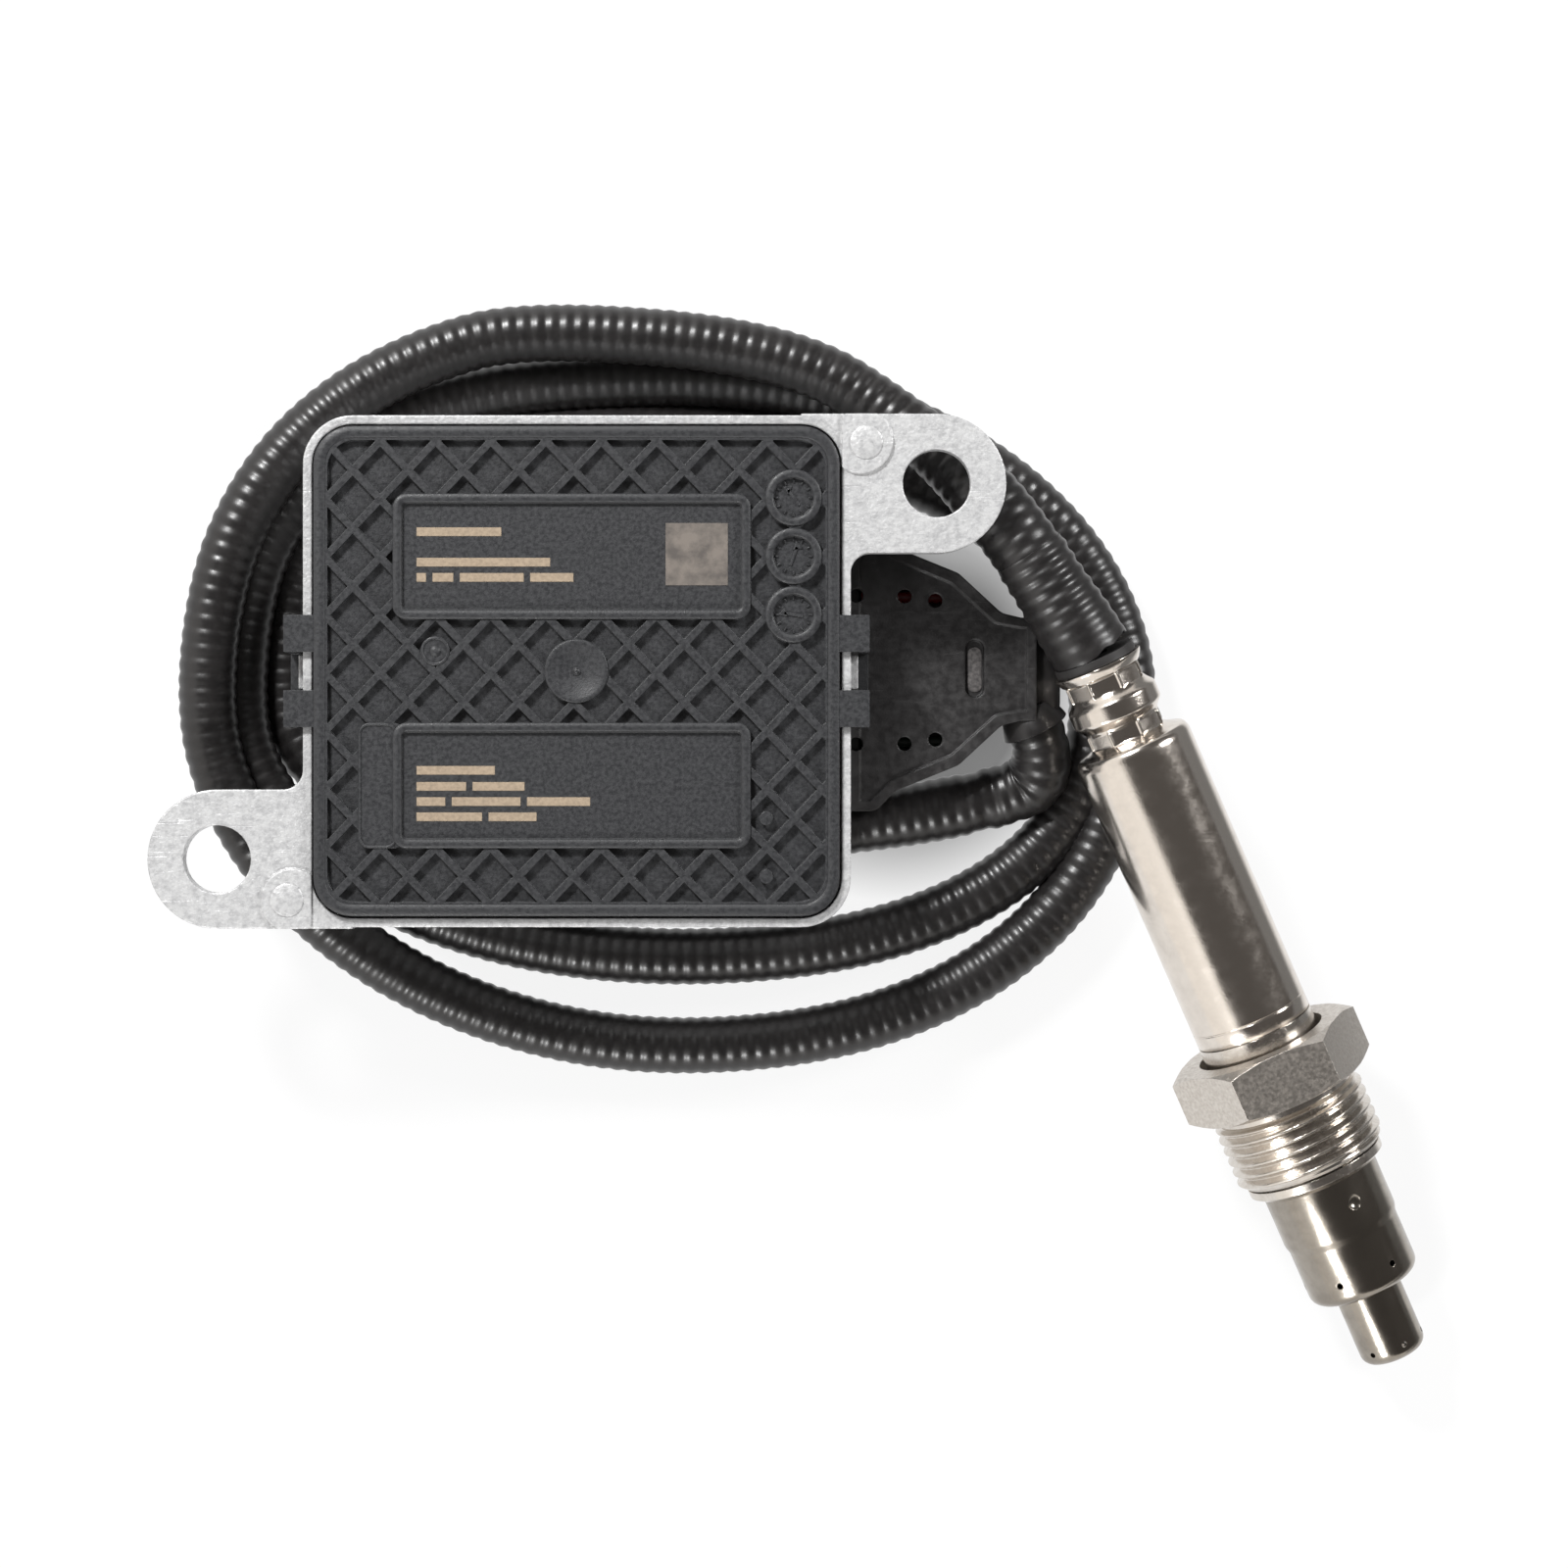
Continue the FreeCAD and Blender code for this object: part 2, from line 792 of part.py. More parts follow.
HOOD_FLOOR = "hood_lift"
HOOD_BACK = "(tray_length / 2 + 0.1)"


def hood_points(inset):
    """Half-trapezoid outline of the hood seen from above, less an inset all round."""
    half = f"(hood_width / 2 - {inset})"
    neck = f"(hood_neck_width / 2 - {inset})"
    right = [
        (f"{HOOD_BACK} + {inset}", half),
        (f"tray_length / 2 + hood_side - {inset} * 0.5", half),
        (f"tray_length / 2 + hood_side + 2.5 - {inset} * 0.5", f"{half} - 2.6"),
        (f"tray_length / 2 + hood_shoulder - {inset} * 0.7", f"{half} - 5.9"),
        (f"tray_length / 2 + hood_waist - {inset} * 0.6", f"{neck} + 0.6"),
        (f"tray_length / 2 + hood_waist + 2.5", neck),
        (f"tray_length / 2 + hood_reach - {inset}", neck),
    ]
    right = [(across, f"hood_shift + {along}") for across, along in right]
    left = [(across, f"2 * hood_shift - ({along})") for across, along in reversed(right)]
    return right + left


def hood_shape(name, inset, height, up):
    """A slab of the hood's outline with rounded upright edges."""
    body = padded(name, hood_points(inset), height, up)
    first, last = value(HOOD_BACK), value("tray_length / 2 + hood_reach")
    return round_uprights(
        f"{name}_soft",
        body,
        f"2.2 - {inset} * 0.6",
        lambda middle: first + 3 < middle.x < last - 3,
    )


# The conduit leaves the end of the hood's neck on this line, turning away from the probe
OUTLET_DIRECTION = V(0.42, -0.88, -0.2).normalize()
OUTLET_START = V(
    value("tray_length / 2 + hood_reach - 2.55"),
    value("hood_shift - 2"),
    value("hood_lift + hood_half"),
)


def hood_openings(half):
    """The round outlet through the end of the neck, shared by the hood's two halves."""
    passage = doc.addObject("Part::Cylinder", f"outlet_passage_{half}")
    bind(passage, Radius="outlet_diameter / 2", Height="outlet_length + 9")
    turn = FreeCAD.Rotation(V(0, 0, 1), OUTLET_DIRECTION)
    passage.Placement = FreeCAD.Placement(OUTLET_START, turn)
    return [passage]


def cable_hood():
    """Two moulded halves over the sensor's wires, with six peep holes and one oblong window."""
    lower = hood_shape("hood_lower_body", "0", "hood_half - fit_gap", HOOD_FLOOR)
    lower_room = hood_shape("hood_lower_room", "hood_wall", "hood_half", f"{HOOD_FLOOR} + hood_wall")
    finish(cut("hood_lower", lower, [lower_room] + hood_openings("lower")), "hood_lower", MODULE)

    seam = f"({HOOD_FLOOR} + hood_half)"
    upper = hood_shape("hood_upper_body", "0", "hood_half", seam)
    upper_room = hood_shape("hood_upper_room", "hood_wall", "hood_half", f"{seam} - hood_wall")
    dish = hood_shape("hood_upper_dish", "hood_wall", "hood_half", f"{seam} + hood_half - hood_rim")
    tools = [upper_room, dish] + hood_openings("upper")
    for side in SIDES:
        for number, (across, along) in enumerate((("0.9", "9.5"), ("7.1", "9.45"), ("11.05", "8.9"))):
            tools.append(
                rod(
                    f"peep_{side + 1}_{number}",
                    "peep_hole / 2",
                    "3 * hood_half",
                    f"tray_length / 2 + {across}",
                    f"hood_shift - 0.1 + {side} * {along}",
                    f"{HOOD_FLOOR} + hood_half",
                )
            )
    window = block(
        "slot_block",
        "slot_width",
        "slot_length",
        "hood_half",
        "tray_length / 2 + slot_station",
        "hood_shift + 0.1",
        f"{seam} + hood_half - hood_rim - 0.7",
    )
    tools.append(round_uprights("slot_window", window, "slot_width / 2 - 0.01"))
    finish(cut("hood_upper", upper, tools), "hood_upper", MODULE)

    rows = ("9.9", "6.2", "2.4", "-1.4", "-5.0", "-8.7")
    for number, along in enumerate(rows):
        wire = block(
            f"hood_wire_{number + 1}_bar",
            "hood_shoulder - 2.9",
            "wire_diameter",
            "wire_diameter",
            "tray_length / 2 + 1.6 + (hood_shoulder - 2.9) / 2",
            f"{along}",
            f"{HOOD_FLOOR} + hood_wall + 0.3",
        )
        doc.recompute()
        soft = doc.addObject("Part::Fillet", f"hood_wire_{number + 1}")
        soft.Base = wire
        size = value("wire_diameter") * 0.45
        long_edges = edges_at(wire.Shape, lambda edge, middle: edge.Length > value("wire_diameter") * 2)
        soft.Edges = [(int(edge[4:]), size, size) for edge in long_edges]
        finish(soft, f"hood_wire_{number + 1}", MODULE)


def union_nut():
    """Loose nut: chamfered hexagon with a counterbore behind, a relief neck and the thread's cylinder."""
    prism = doc.addObject("Part::Prism", "hex_prism")
    prism.Polygon = 6
    bind(prism, Circumradius="hex_flats / 2 / cos(30 deg)", Height="hex_length")
    # Turns the prism so that a flat, not a corner, faces up
    prism.Placement = FreeCAD.Placement(V(0, 0, 0), FreeCAD.Rotation(30, 0, 0))
    corner = value("hex_flats / 2 / cos(30 deg)")
    bevel = doc.addObject("Part::Feature", "hex_bevel")
    high, low = value("hex_length"), corner - value("hex_chamfer") * 1.6
    rise = value("hex_chamfer") * 0.95
    wide = corner + 0.3
    half = [V(0, 0, 0), V(low, 0, 0), V(wide, 0, rise), V(wide, 0, high - rise), V(low, 0, high)]
    half.append(V(0, 0, high))
    bevel.Shape = Part.Face(Part.makePolygon(half + [half[0]])).revolve(V(0, 0, 0), V(0, 0, 1), 360)
    hexagon = common("hex_head", prism, bevel)
    neck = rod("nut_neck", "relief_diameter / 2", "relief_length + 0.1", up="hex_length - 0.1")
    thread_start = "(hex_length + relief_length)"
    thread = rod("nut_thread", "thread_diameter / 2", f"thread_end - {thread_start}", up=thread_start)
    bore = rod("nut_bore", "sleeve_diameter / 2 + nut_clearance", "thread_end + 2", up="-1")
    deep = rod("nut_counterbore", "counterbore_diameter / 2", "counterbore_depth + 1", up="-1")
    solid = fuse("nut_solid", [hexagon, neck, thread])
    return finish(cut("union_nut", solid, [bore, deep]), "union_nut", PROBE)


def sensor_sleeve():
    """Drawn steel sleeve, crimped twice on the grommet behind its shoulder."""
    wall = "sleeve_wall"
    bend = f"-1 * shoulder_station - (crimp_two_end - 0.2 - shoulder_station) * (1 - {ROUND_SHARE})"
    outside = [
        ("lip_diameter / 2", "-1 * lip_station"),
        ("crimp_diameter / 2", "-1 * crimp_one_start"),
        ("crimp_diameter / 2", "-1 * crimp_one_end"),
        ("bead_diameter / 2", "-1 * crimp_one_end + 0.9"),
        ("bead_diameter / 2", "-1 * bead_end - 0.9"),
        ("crimp_diameter / 2", "-1 * bead_end"),
        ("crimp_diameter / 2", "-1 * crimp_two_end"),
        ("sleeve_diameter / 2 - 1.4", "-1 * crimp_two_end + 0.2"),
        (f"sleeve_diameter / 2 - 1.4 * {ROUND_SHARE}", bend),
        ("sleeve_diameter / 2", "-1 * shoulder_station"),
        ("sleeve_diameter / 2", "-1 * sleeve_end"),
    ]
    inside = [
        (f"sleeve_diameter / 2 - {wall}", "-1 * sleeve_end"),
        (f"sleeve_diameter / 2 - {wall}", "-1 * shoulder_station + 0.2"),
        (f"sleeve_diameter / 2 - 1.4 - {wall}", f"-1 * crimp_two_end + 0.2 + {wall}"),
        (f"crimp_diameter / 2 - {wall}", f"-1 * crimp_two_end + {wall}"),
        (f"crimp_diameter / 2 - {wall}", "-1 * lip_station"),
    ]
    return finish(turned("sensor_sleeve", outside + inside), "sensor_sleeve", PROBE)


def probe_inside():
    """Grommet, contact carrier, body, talc, bush and ceramic element, in order along the axis."""
    inner = "(sleeve_diameter / 2 - sleeve_wall - fit_gap)"
    neck = "(crimp_diameter / 2 - sleeve_wall - fit_gap)"
    front = "(-1 * crimp_two_end + 1.6)"
    grommet = [
        ("1.9", "-1 * lip_station - boot_gap + fit_gap"),
        ("lip_diameter / 2 - 0.5", "-1 * lip_station - boot_gap + fit_gap"),
        ("lip_diameter / 2 - 0.5", "-1 * lip_station - fit_gap"),
        (neck, "-1 * lip_station - fit_gap"),
        (neck, front),
        ("1.9", front),
    ]
    finish(turned("cable_grommet", grommet), "cable_grommet", PROBE)
    back = "(carrier_gap - shoulder_station)"
    carrier = [
        ("carrier_bore / 2", back),
        (inner, back),
        (inner, f"{back} + carrier_length"),
        ("carrier_bore / 2", f"{back} + carrier_length"),
    ]
    finish(turned("contact_carrier", carrier), "contact_carrier", PROBE)
    for side in SIDES:
        spring = block(
            f"contact_spring_{side + 1}",
            "spring_thickness",
            "spring_width",
            "spring_length",
            f"{side} * ((element_thickness + spring_thickness) / 2 + fit_gap)",
            "0",
            f"{back} + (carrier_length - spring_length) / 2",
        )
        finish(spring, "contact_spring_upper" if side > 0 else "contact_spring_lower", PROBE)
    body = [
        ("bush_diameter / 2", "-1 * sleeve_end - body_back"),
        (inner, "-1 * sleeve_end - body_back"),
        (inner, "-1 * sleeve_end + fit_gap"),
        ("sleeve_diameter / 2", "-1 * sleeve_end + fit_gap"),
        ("sleeve_diameter / 2", "thread_end + nut_clearance"),
        ("seat_diameter / 2", "thread_end + nut_clearance"),
        ("seat_diameter / 2", "thread_end + seat_thickness - seat_nose"),
        ("cap_first_diameter / 2 + 0.4", "thread_end + seat_thickness + seat_nose"),
        ("cap_first_diameter / 2 - cap_wall - fit_gap", "thread_end + seat_thickness + seat_nose"),
        ("cap_first_diameter / 2 - cap_wall - fit_gap", "thread_end + seat_thickness + seat_nose + 3"),
        ("3.2", "thread_end + seat_thickness + seat_nose + 3"),
        ("3.2", "thread_end - 2"),
        ("bush_diameter / 2", "thread_end - 4"),
    ]
    finish(turned("sensor_body", body), "sensor_body", PROBE)
    packing = "bush_diameter / 2 - fit_gap"
    talc_start = "(thread_end - 4.5 - talc_length)"

    def packed_ring(label, low, high):
        """A ring packed between the sensor body and the element."""
        ring = rod(f"{label}_ring", packing, f"{high} - {low}", up=low)
        thick, wide = "element_thickness + 2 * fit_gap", "element_width + 2 * fit_gap"
        slot = block(f"{label}_slot", thick, wide, "80", up="-40")
        finish(cut(label, ring, [slot]), label, PROBE)

    packed_ring("rear_ceramic_bush", "(-1 * sleeve_end - bush_gap)", f"({talc_start} - fit_gap)")
    packed_ring("talc_ring", talc_start, f"({talc_start} + talc_length)")
    element = block(
        "sensing_element",
        "element_thickness",
        "element_width",
        "cap_second_end - 4 + shoulder_station - 3",
        up="-1 * shoulder_station + 3",
    )
    finish(element, "sensing_element", PROBE)


def gas_holes(name, radius, station, turns, tool_length):
    """Radial holes round the axis at one station."""
    holes = []
    for number, turn in enumerate(turns):
        hole = doc.addObject("Part::Cylinder", f"{name}_{number}")
        bind(hole, Radius=radius, Height=tool_length)
        angle = math.radians(turn)
        outward = V(math.cos(angle), math.sin(angle), 0)
        hole.Placement = FreeCAD.Placement(V(0, 0, value(station)), FreeCAD.Rotation(V(0, 0, 1), outward))
        holes.append(hole)
    return holes


def protection_caps():
    """Stepped outer cap with its snout, and the perforated tube inside it."""
    start = "(thread_end + seat_thickness + seat_nose + fit_gap)"
    wall = "cap_wall"
    outside = [
        ("cap_first_diameter / 2", start),
        ("cap_first_diameter / 2", "cap_first_end"),
        ("cap_second_diameter / 2", "cap_first_end + cap_step"),
        *soft_corner("cap_second_diameter / 2", "cap_second_end", "cap_round"),
        ("snout_diameter / 2", "cap_second_end"),
        *soft_corner("snout_diameter / 2", "snout_end", "cap_round"),
        ("1.6", "snout_end"),
        ("1.6", f"snout_end - {wall}"),
        (f"snout_diameter / 2 - {wall}", f"snout_end - {wall}"),
        (f"snout_diameter / 2 - {wall}", f"cap_second_end - {wall}"),
        (f"cap_second_diameter / 2 - {wall}", f"cap_second_end - {wall}"),
        (f"cap_second_diameter / 2 - {wall}", "cap_first_end + cap_step"),
        (f"cap_first_diameter / 2 - {wall}", "cap_first_end"),
        (f"cap_first_diameter / 2 - {wall}", start),
    ]
    shell = turned("outer_cap_shell", outside)
    ring_turns = [30 + 60 * number for number in range(6)]
    holes = gas_holes("gas_hole", "gas_hole / 2", "gas_hole_station", ring_turns, "cap_first_diameter")
    snout_turns = [turn + 15 for turn in ring_turns]
    holes += gas_holes("snout_hole", "snout_hole / 2", "snout_end - 1.9", snout_turns, "snout_diameter")
    finish(cut("outer_cap", shell, holes), "outer_cap", PROBE)
    tube_outer = "(snout_diameter / 2 - cap_wall - fit_gap)"
    tube = [
        (f"{tube_outer} - 0.5", f"{start} + 3.1"),
        ("cap_second_diameter / 2 - cap_wall - 0.5", f"{start} + 3.1"),
        ("cap_second_diameter / 2 - cap_wall - 0.5", f"{start} + 3.7"),
        (tube_outer, f"{start} + 3.7"),
        (tube_outer, "cap_second_end + 5"),
        (f"{tube_outer} - 0.5", "cap_second_end + 5"),
    ]
    finish(turned("inner_cap", tube), "inner_cap", PROBE)


# The free conduit
def rounded_route(points):
    """A wire of straight runs joined by tangent arcs."""
    edges, start = [], points[0]
    for number in range(1, len(points) - 1):
        before, here, after = points[number - 1 : number + 2]
        back, ahead = (before - here), (after - here)
        shorter = min(back.Length, ahead.Length)
        half_turn = (math.pi - back.getAngle(ahead)) / 2
        radius = 0.45 * shorter / math.tan(half_turn)
        setback = 0.45 * shorter
        enter, leave = here + back.normalize() * setback, here + ahead.normalize() * setback
        inward = (back + ahead).normalize()
        crown = here + inward * (radius / math.cos(half_turn) - radius)
        edges.append(Part.LineSegment(start, enter).toShape())
        edges.append(Part.Arc(enter, crown, leave).toShape())
        start = leave
    edges.append(Part.LineSegment(start, points[-1]).toShape())
    return Part.Wire(edges)


def conduit_tube(label, points):
    """The conduit's round section swept along a route."""
    wire = rounded_route(points)
    radius = value("conduit_diameter / 2")
    first = (points[1] - points[0]).normalize()
    disc = Part.Wire([Part.Circle(points[0], first, radius).toShape()])
    tube = wire.makePipeShell([disc], True, False)
    if abs(tube.Volume / (math.pi * radius**2 * wire.Length) - 1) > 0.01:
        raise RuntimeError(f"{label} isn't its section swept along its route")
    feature = doc.addObject("Part::Feature", label)
    feature.Shape = tube
    return finish(feature, label, FreeCAD.Placement())


def bent_ring(low, high, corner):
    """A closed wire round a rectangle with large corner arcs, from its low and high corners."""
    turns = []
    centres = ((high.x, high.y, 0), (low.x, high.y, 90), (low.x, low.y, 180), (high.x, low.y, 270))
    for edge_x, edge_y, angle in centres:
        toward_x = -1 if edge_x == high.x else 1
        toward_y = -1 if edge_y == high.y else 1
        centre = V(edge_x + toward_x * corner, edge_y + toward_y * corner, low.z)
        headings = [math.radians(angle + step) for step in (0, 45, 90)]
        turns.append([centre + V(corner * math.cos(a), corner * math.sin(a), 0) for a in headings])
    edges = []
    for number, spots in enumerate(turns):
        edges.append(Part.Arc(*spots).toShape())
        edges.append(Part.LineSegment(spots[2], turns[(number + 1) % 4][0]).toShape())
    return Part.Wire(edges)


LIP = PROBE.multVec(V(0, 0, -value("lip_station")))
# The boot comes to the sleeve at a slant, as the conduit pulls it
BOOT_AXIS = aimed(value("boot_heading"), value("boot_tilt"))
BOOT_REAR = LIP - AXIS * value("boot_gap + boot_play") - BOOT_AXIS * value("boot_length")


def conduit():
    """The coil's outer shape, the two leads that leave it, and the boot at the probe."""
    thick = value("conduit_diameter")
    outer = Part.Face(bent_ring(V(-77.0, -22.9, 0), V(46.2, 71.2, 0), 43))
    inner = Part.Face(bent_ring(V(-62.6, 7.4, 0), V(31.5, 55.6, 0), 23))
    ring = outer.cut(inner).extrude(V(0, 0, thick))
    high_outer = Part.Face(bent_ring(V(-80.6, -22.0, thick), V(44, 76.8, thick), 44))
    high_inner = Part.Face(bent_ring(V(-69.2, -14.0, thick), V(36, 69.4, thick), 30))
    keep = Part.makeBox(100, 85, 20, V(-115, 4, 0))
    upper = high_outer.cut(high_inner).extrude(V(0, 0, 7.6)).common(keep)
    coil = doc.addObject("Part::Feature", "conduit_coil")
    coil.Shape = ring.fuse(upper).removeSplitter()
    finish(coil, "conduit_coil", FreeCAD.Placement())
    outlet = MODULE.multVec(OUTLET_START) + OUTLET_DIRECTION * value("outlet_length")
    conduit_tube(
        "conduit_lead_module",
        [outlet, outlet + OUTLET_DIRECTION * 6, V(27.4, 12.0, 5.4)],
    )
    conduit_tube(
        "conduit_lead_probe",
        [
            V(-15.0, 72.9, 11.2),
            V(0.5, 69.0, 11.3),
            V(14.0, 60.4, 12.6),
            BOOT_REAR - BOOT_AXIS * 11 - V(0, 0, 1.4),
            BOOT_REAR,
        ],
    )
    boot = [
        ("1.9", "0"),
        ("conduit_diameter / 2", "0"),
        ("boot_diameter / 2", "boot_length * 0.55"),
        ("boot_diameter / 2", "boot_length"),
        ("1.9", "boot_length"),
    ]
    place = FreeCAD.Placement(BOOT_REAR, FreeCAD.Rotation(V(0, 0, 1), BOOT_AXIS))
    finish(turned("conduit_boot", boot), "conduit_boot", place)


housing_tray()
housing_cover()
cover_gasket()
electronics()
vehicle_connector()
cable_hood()
sensor_sleeve()
probe_inside()
union_nut()
protection_caps()
conduit()
doc.recompute()

os.makedirs("parts", exist_ok=True)
failed = [thing.Name for thing in doc.Objects if {"Invalid", "Error"} & set(thing.State)]
if failed:
    raise RuntimeError(f"objects that failed: {failed}")
for thing in nodes:
    if thing.Shape.isNull() or not thing.Shape.isValid():
        raise RuntimeError(f"{thing.Label} has no valid shape")
for thing in nodes:
    thing.Shape.exportStep(f"parts/{thing.Label}.step")
    print(thing.Label, len(thing.Shape.Solids), "solid,", round(thing.Shape.Volume, 1), "cubic millimetres")
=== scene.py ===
"""Finishes the nitrogen oxide sensor: ribbed module, cable hood, coiled conduit and screw-in probe.

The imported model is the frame. This script adds the conduit's real route with its ribs, the boot, the
crimped sleeve, the threaded nut, the stepped cap, the cover's rims and marks, the small pieces at the
hood, and the finish of every surface.
"""

import json
import logging
import math
from dataclasses import dataclass, field
from enum import Enum

import bmesh
import bpy
import numpy as np
from mathutils import Matrix, Vector


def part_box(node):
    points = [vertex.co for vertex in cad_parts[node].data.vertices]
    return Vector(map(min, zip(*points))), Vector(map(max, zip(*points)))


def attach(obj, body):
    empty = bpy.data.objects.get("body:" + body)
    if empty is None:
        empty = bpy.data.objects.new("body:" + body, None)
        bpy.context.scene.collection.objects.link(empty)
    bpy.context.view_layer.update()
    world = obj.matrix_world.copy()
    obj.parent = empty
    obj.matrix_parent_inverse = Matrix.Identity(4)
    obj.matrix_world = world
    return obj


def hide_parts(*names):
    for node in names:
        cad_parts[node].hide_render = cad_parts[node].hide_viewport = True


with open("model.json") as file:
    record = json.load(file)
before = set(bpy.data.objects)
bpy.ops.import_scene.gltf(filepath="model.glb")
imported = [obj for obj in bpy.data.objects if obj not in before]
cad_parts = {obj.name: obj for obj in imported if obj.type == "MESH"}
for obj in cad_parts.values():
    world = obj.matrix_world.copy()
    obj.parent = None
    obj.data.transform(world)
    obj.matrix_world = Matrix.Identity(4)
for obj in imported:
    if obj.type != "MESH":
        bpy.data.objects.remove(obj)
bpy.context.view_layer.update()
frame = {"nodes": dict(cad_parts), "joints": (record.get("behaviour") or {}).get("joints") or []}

Pair = tuple[float, float]
Triple = tuple[float, float, float]

LOG = logging.getLogger("sensor")
MM = 0.001
LEAST_ROUGHNESS = 0.02
EDGE_SAMPLES = 6
LEAST_CORNER = 0.2


class Side(Enum):
    """The two directions away from the module's middle."""

    LEFT = -1
    RIGHT = 1


class Body(Enum):
    """The rigid bodies of the sensor."""

    SENSOR = "sensor"
    NUT = "nut"


@dataclass(frozen=True)
class Wiring:
    """Adds the nodes of one shader tree and feeds their sockets."""

    tree: bpy.types.NodeTree

    def feed(self, node: bpy.types.Node, values: dict) -> None:
        """Sets or links a node's inputs.

        Args:
            node: the node.
            values: by each input's name or number, a value or the output to link it to.
        """
        for socket, value in values.items():
            if isinstance(value, bpy.types.NodeSocket):
                self.tree.links.new(value, node.inputs[socket])
            else:
                node.inputs[socket].default_value = value

    def node(self, kind: str, values: dict | None = None, **settings: object) -> bpy.types.Node:
        """Adds a node.

        Args:
            kind: the node's type, without ShaderNode in front.
            values: what its inputs take, as for feed.
            settings: its own attributes.

        Returns:
            The node.
        """
        node = self.tree.nodes.new(f"ShaderNode{kind}")
        for name, value in settings.items():
            setattr(node, name, value)
        self.feed(node, values or {})
        return node

    def add(self, kind: str, values: dict, **settings: object) -> bpy.types.NodeSocket:
        """Adds a node, as node does, and gives the first output that it has in use."""
        return next(socket for socket in self.node(kind, values, **settings).outputs if socket.enabled)


@dataclass(frozen=True)
class Finish:
    """One surface finish: colours, gloss, and the size and depth of its grain in millimetres."""

    name: str
    color: Triple
    tint: Triple
    roughness: float
    metallic: float = 0.0
    grain_mm: float = 0.35
    grain_depth_mm: float = 0.01
    mottle_mm: float = 6.0
    mottle: float = 0.3
    scratch: float = 0.0
    gloss_spread: float = 0.08
    edge_round_mm: float = 0.12

    def build(self, grain_group: bpy.types.NodeTree) -> bpy.types.Material:
        """Makes the material.

        Args:
            grain_group: the shader group that every finish shares.

        Returns:
            The finished material.
        """
        material = bpy.data.materials.new(self.name)
        material.use_nodes = True
        wiring = Wiring(material.node_tree)
        grain = wiring.node(
            "Group",
            {
                "Vector": wiring.node("TexCoord").outputs["Object"],
                "Grain Scale": 1.0 / (self.grain_mm * MM),
                "Mottle Scale": 1.0 / (self.mottle_mm * MM),
                "Scratch": self.scratch,
            },
            node_tree=grain_group,
        ).outputs
        share = wiring.add("Math", {0: grain["Mottle"], 1: self.mottle}, operation="MULTIPLY")
        tone = wiring.add(
            "Mix", {"Factor": share, "A": (*self.color, 1.0), "B": (*self.tint, 1.0)}, data_type="RGBA"
        )
        low = max(LEAST_ROUGHNESS, self.roughness - self.gloss_spread)
        high = min(1.0, self.roughness + self.gloss_spread)
        gloss = wiring.add("MapRange", {"Value": grain["Mottle"], "To Min": low, "To Max": high})
        soft = wiring.add("Bevel", {"Radius": self.edge_round_mm * MM}, samples=EDGE_SAMPLES)
        depth = self.grain_depth_mm * MM
        bump = wiring.add("Bump", {"Distance": depth, "Height": grain["Height"], "Normal": soft})
        wiring.feed(
            material.node_tree.nodes["Principled BSDF"],
            {"Metallic": self.metallic, "Base Color": tone, "Roughness": gloss, "Normal": bump},
        )
        return material


def surface_grain() -> bpy.types.NodeTree:
    """Makes the shader group for grain, mottling and fine scratches that every finish uses.

    Returns:
        The node group, with outputs Height and Mottle.
    """
    scratch_turn, scratch_stretch, scratch_scale = (0.0, 0.0, 0.6), (60.0, 900.0, 60.0), 2.2
    scratch_range, mottle_range = (0.66, 0.74), (0.38, 0.66)
    group = bpy.data.node_groups.new("surface grain", "ShaderNodeTree")
    face = group.interface
    face.new_socket("Vector", in_out="INPUT", socket_type="NodeSocketVector")
    for name in ("Grain Scale", "Mottle Scale", "Scratch"):
        face.new_socket(name, in_out="INPUT", socket_type="NodeSocketFloat")
    for name in ("Height", "Mottle"):
        face.new_socket(name, in_out="OUTPUT", socket_type="NodeSocketFloat")
    entry = group.nodes.new("NodeGroupInput").outputs
    place = entry["Vector"]
    wiring = Wiring(group)
    fine = wiring.add("TexNoise", {"Vector": place, "Scale": entry["Grain Scale"], "Detail": 3.0})
    broad = wiring.add(
        "TexNoise", {"Vector": place, "Scale": entry["Mottle Scale"], "Detail": 5.0, "Roughness": 0.6}
    )
    stretch = wiring.add("Mapping", {"Vector": place, "Rotation": scratch_turn, "Scale": scratch_stretch})
    streak = wiring.add("TexNoise", {"Vector": stretch, "Scale": scratch_scale, "Detail": 2.0})
    low, high = scratch_range
    line = wiring.add("MapRange", {"Value": streak, "From Min": low, "From Max": high})
    scratch = wiring.add("Math", {0: line, 1: entry["Scratch"]}, operation="MULTIPLY")
    height = wiring.add("Math", {0: fine, 1: scratch}, operation="SUBTRACT")
    low, high = mottle_range
    spread = wiring.add("MapRange", {"Value": broad, "From Min": low, "From Max": high})
    mottle = wiring.add("Math", {0: spread, 1: scratch}, operation="ADD", use_clamp=True)
    wiring.feed(group.nodes.new("NodeGroupOutput"), {"Height": height, "Mottle": mottle})
    return group


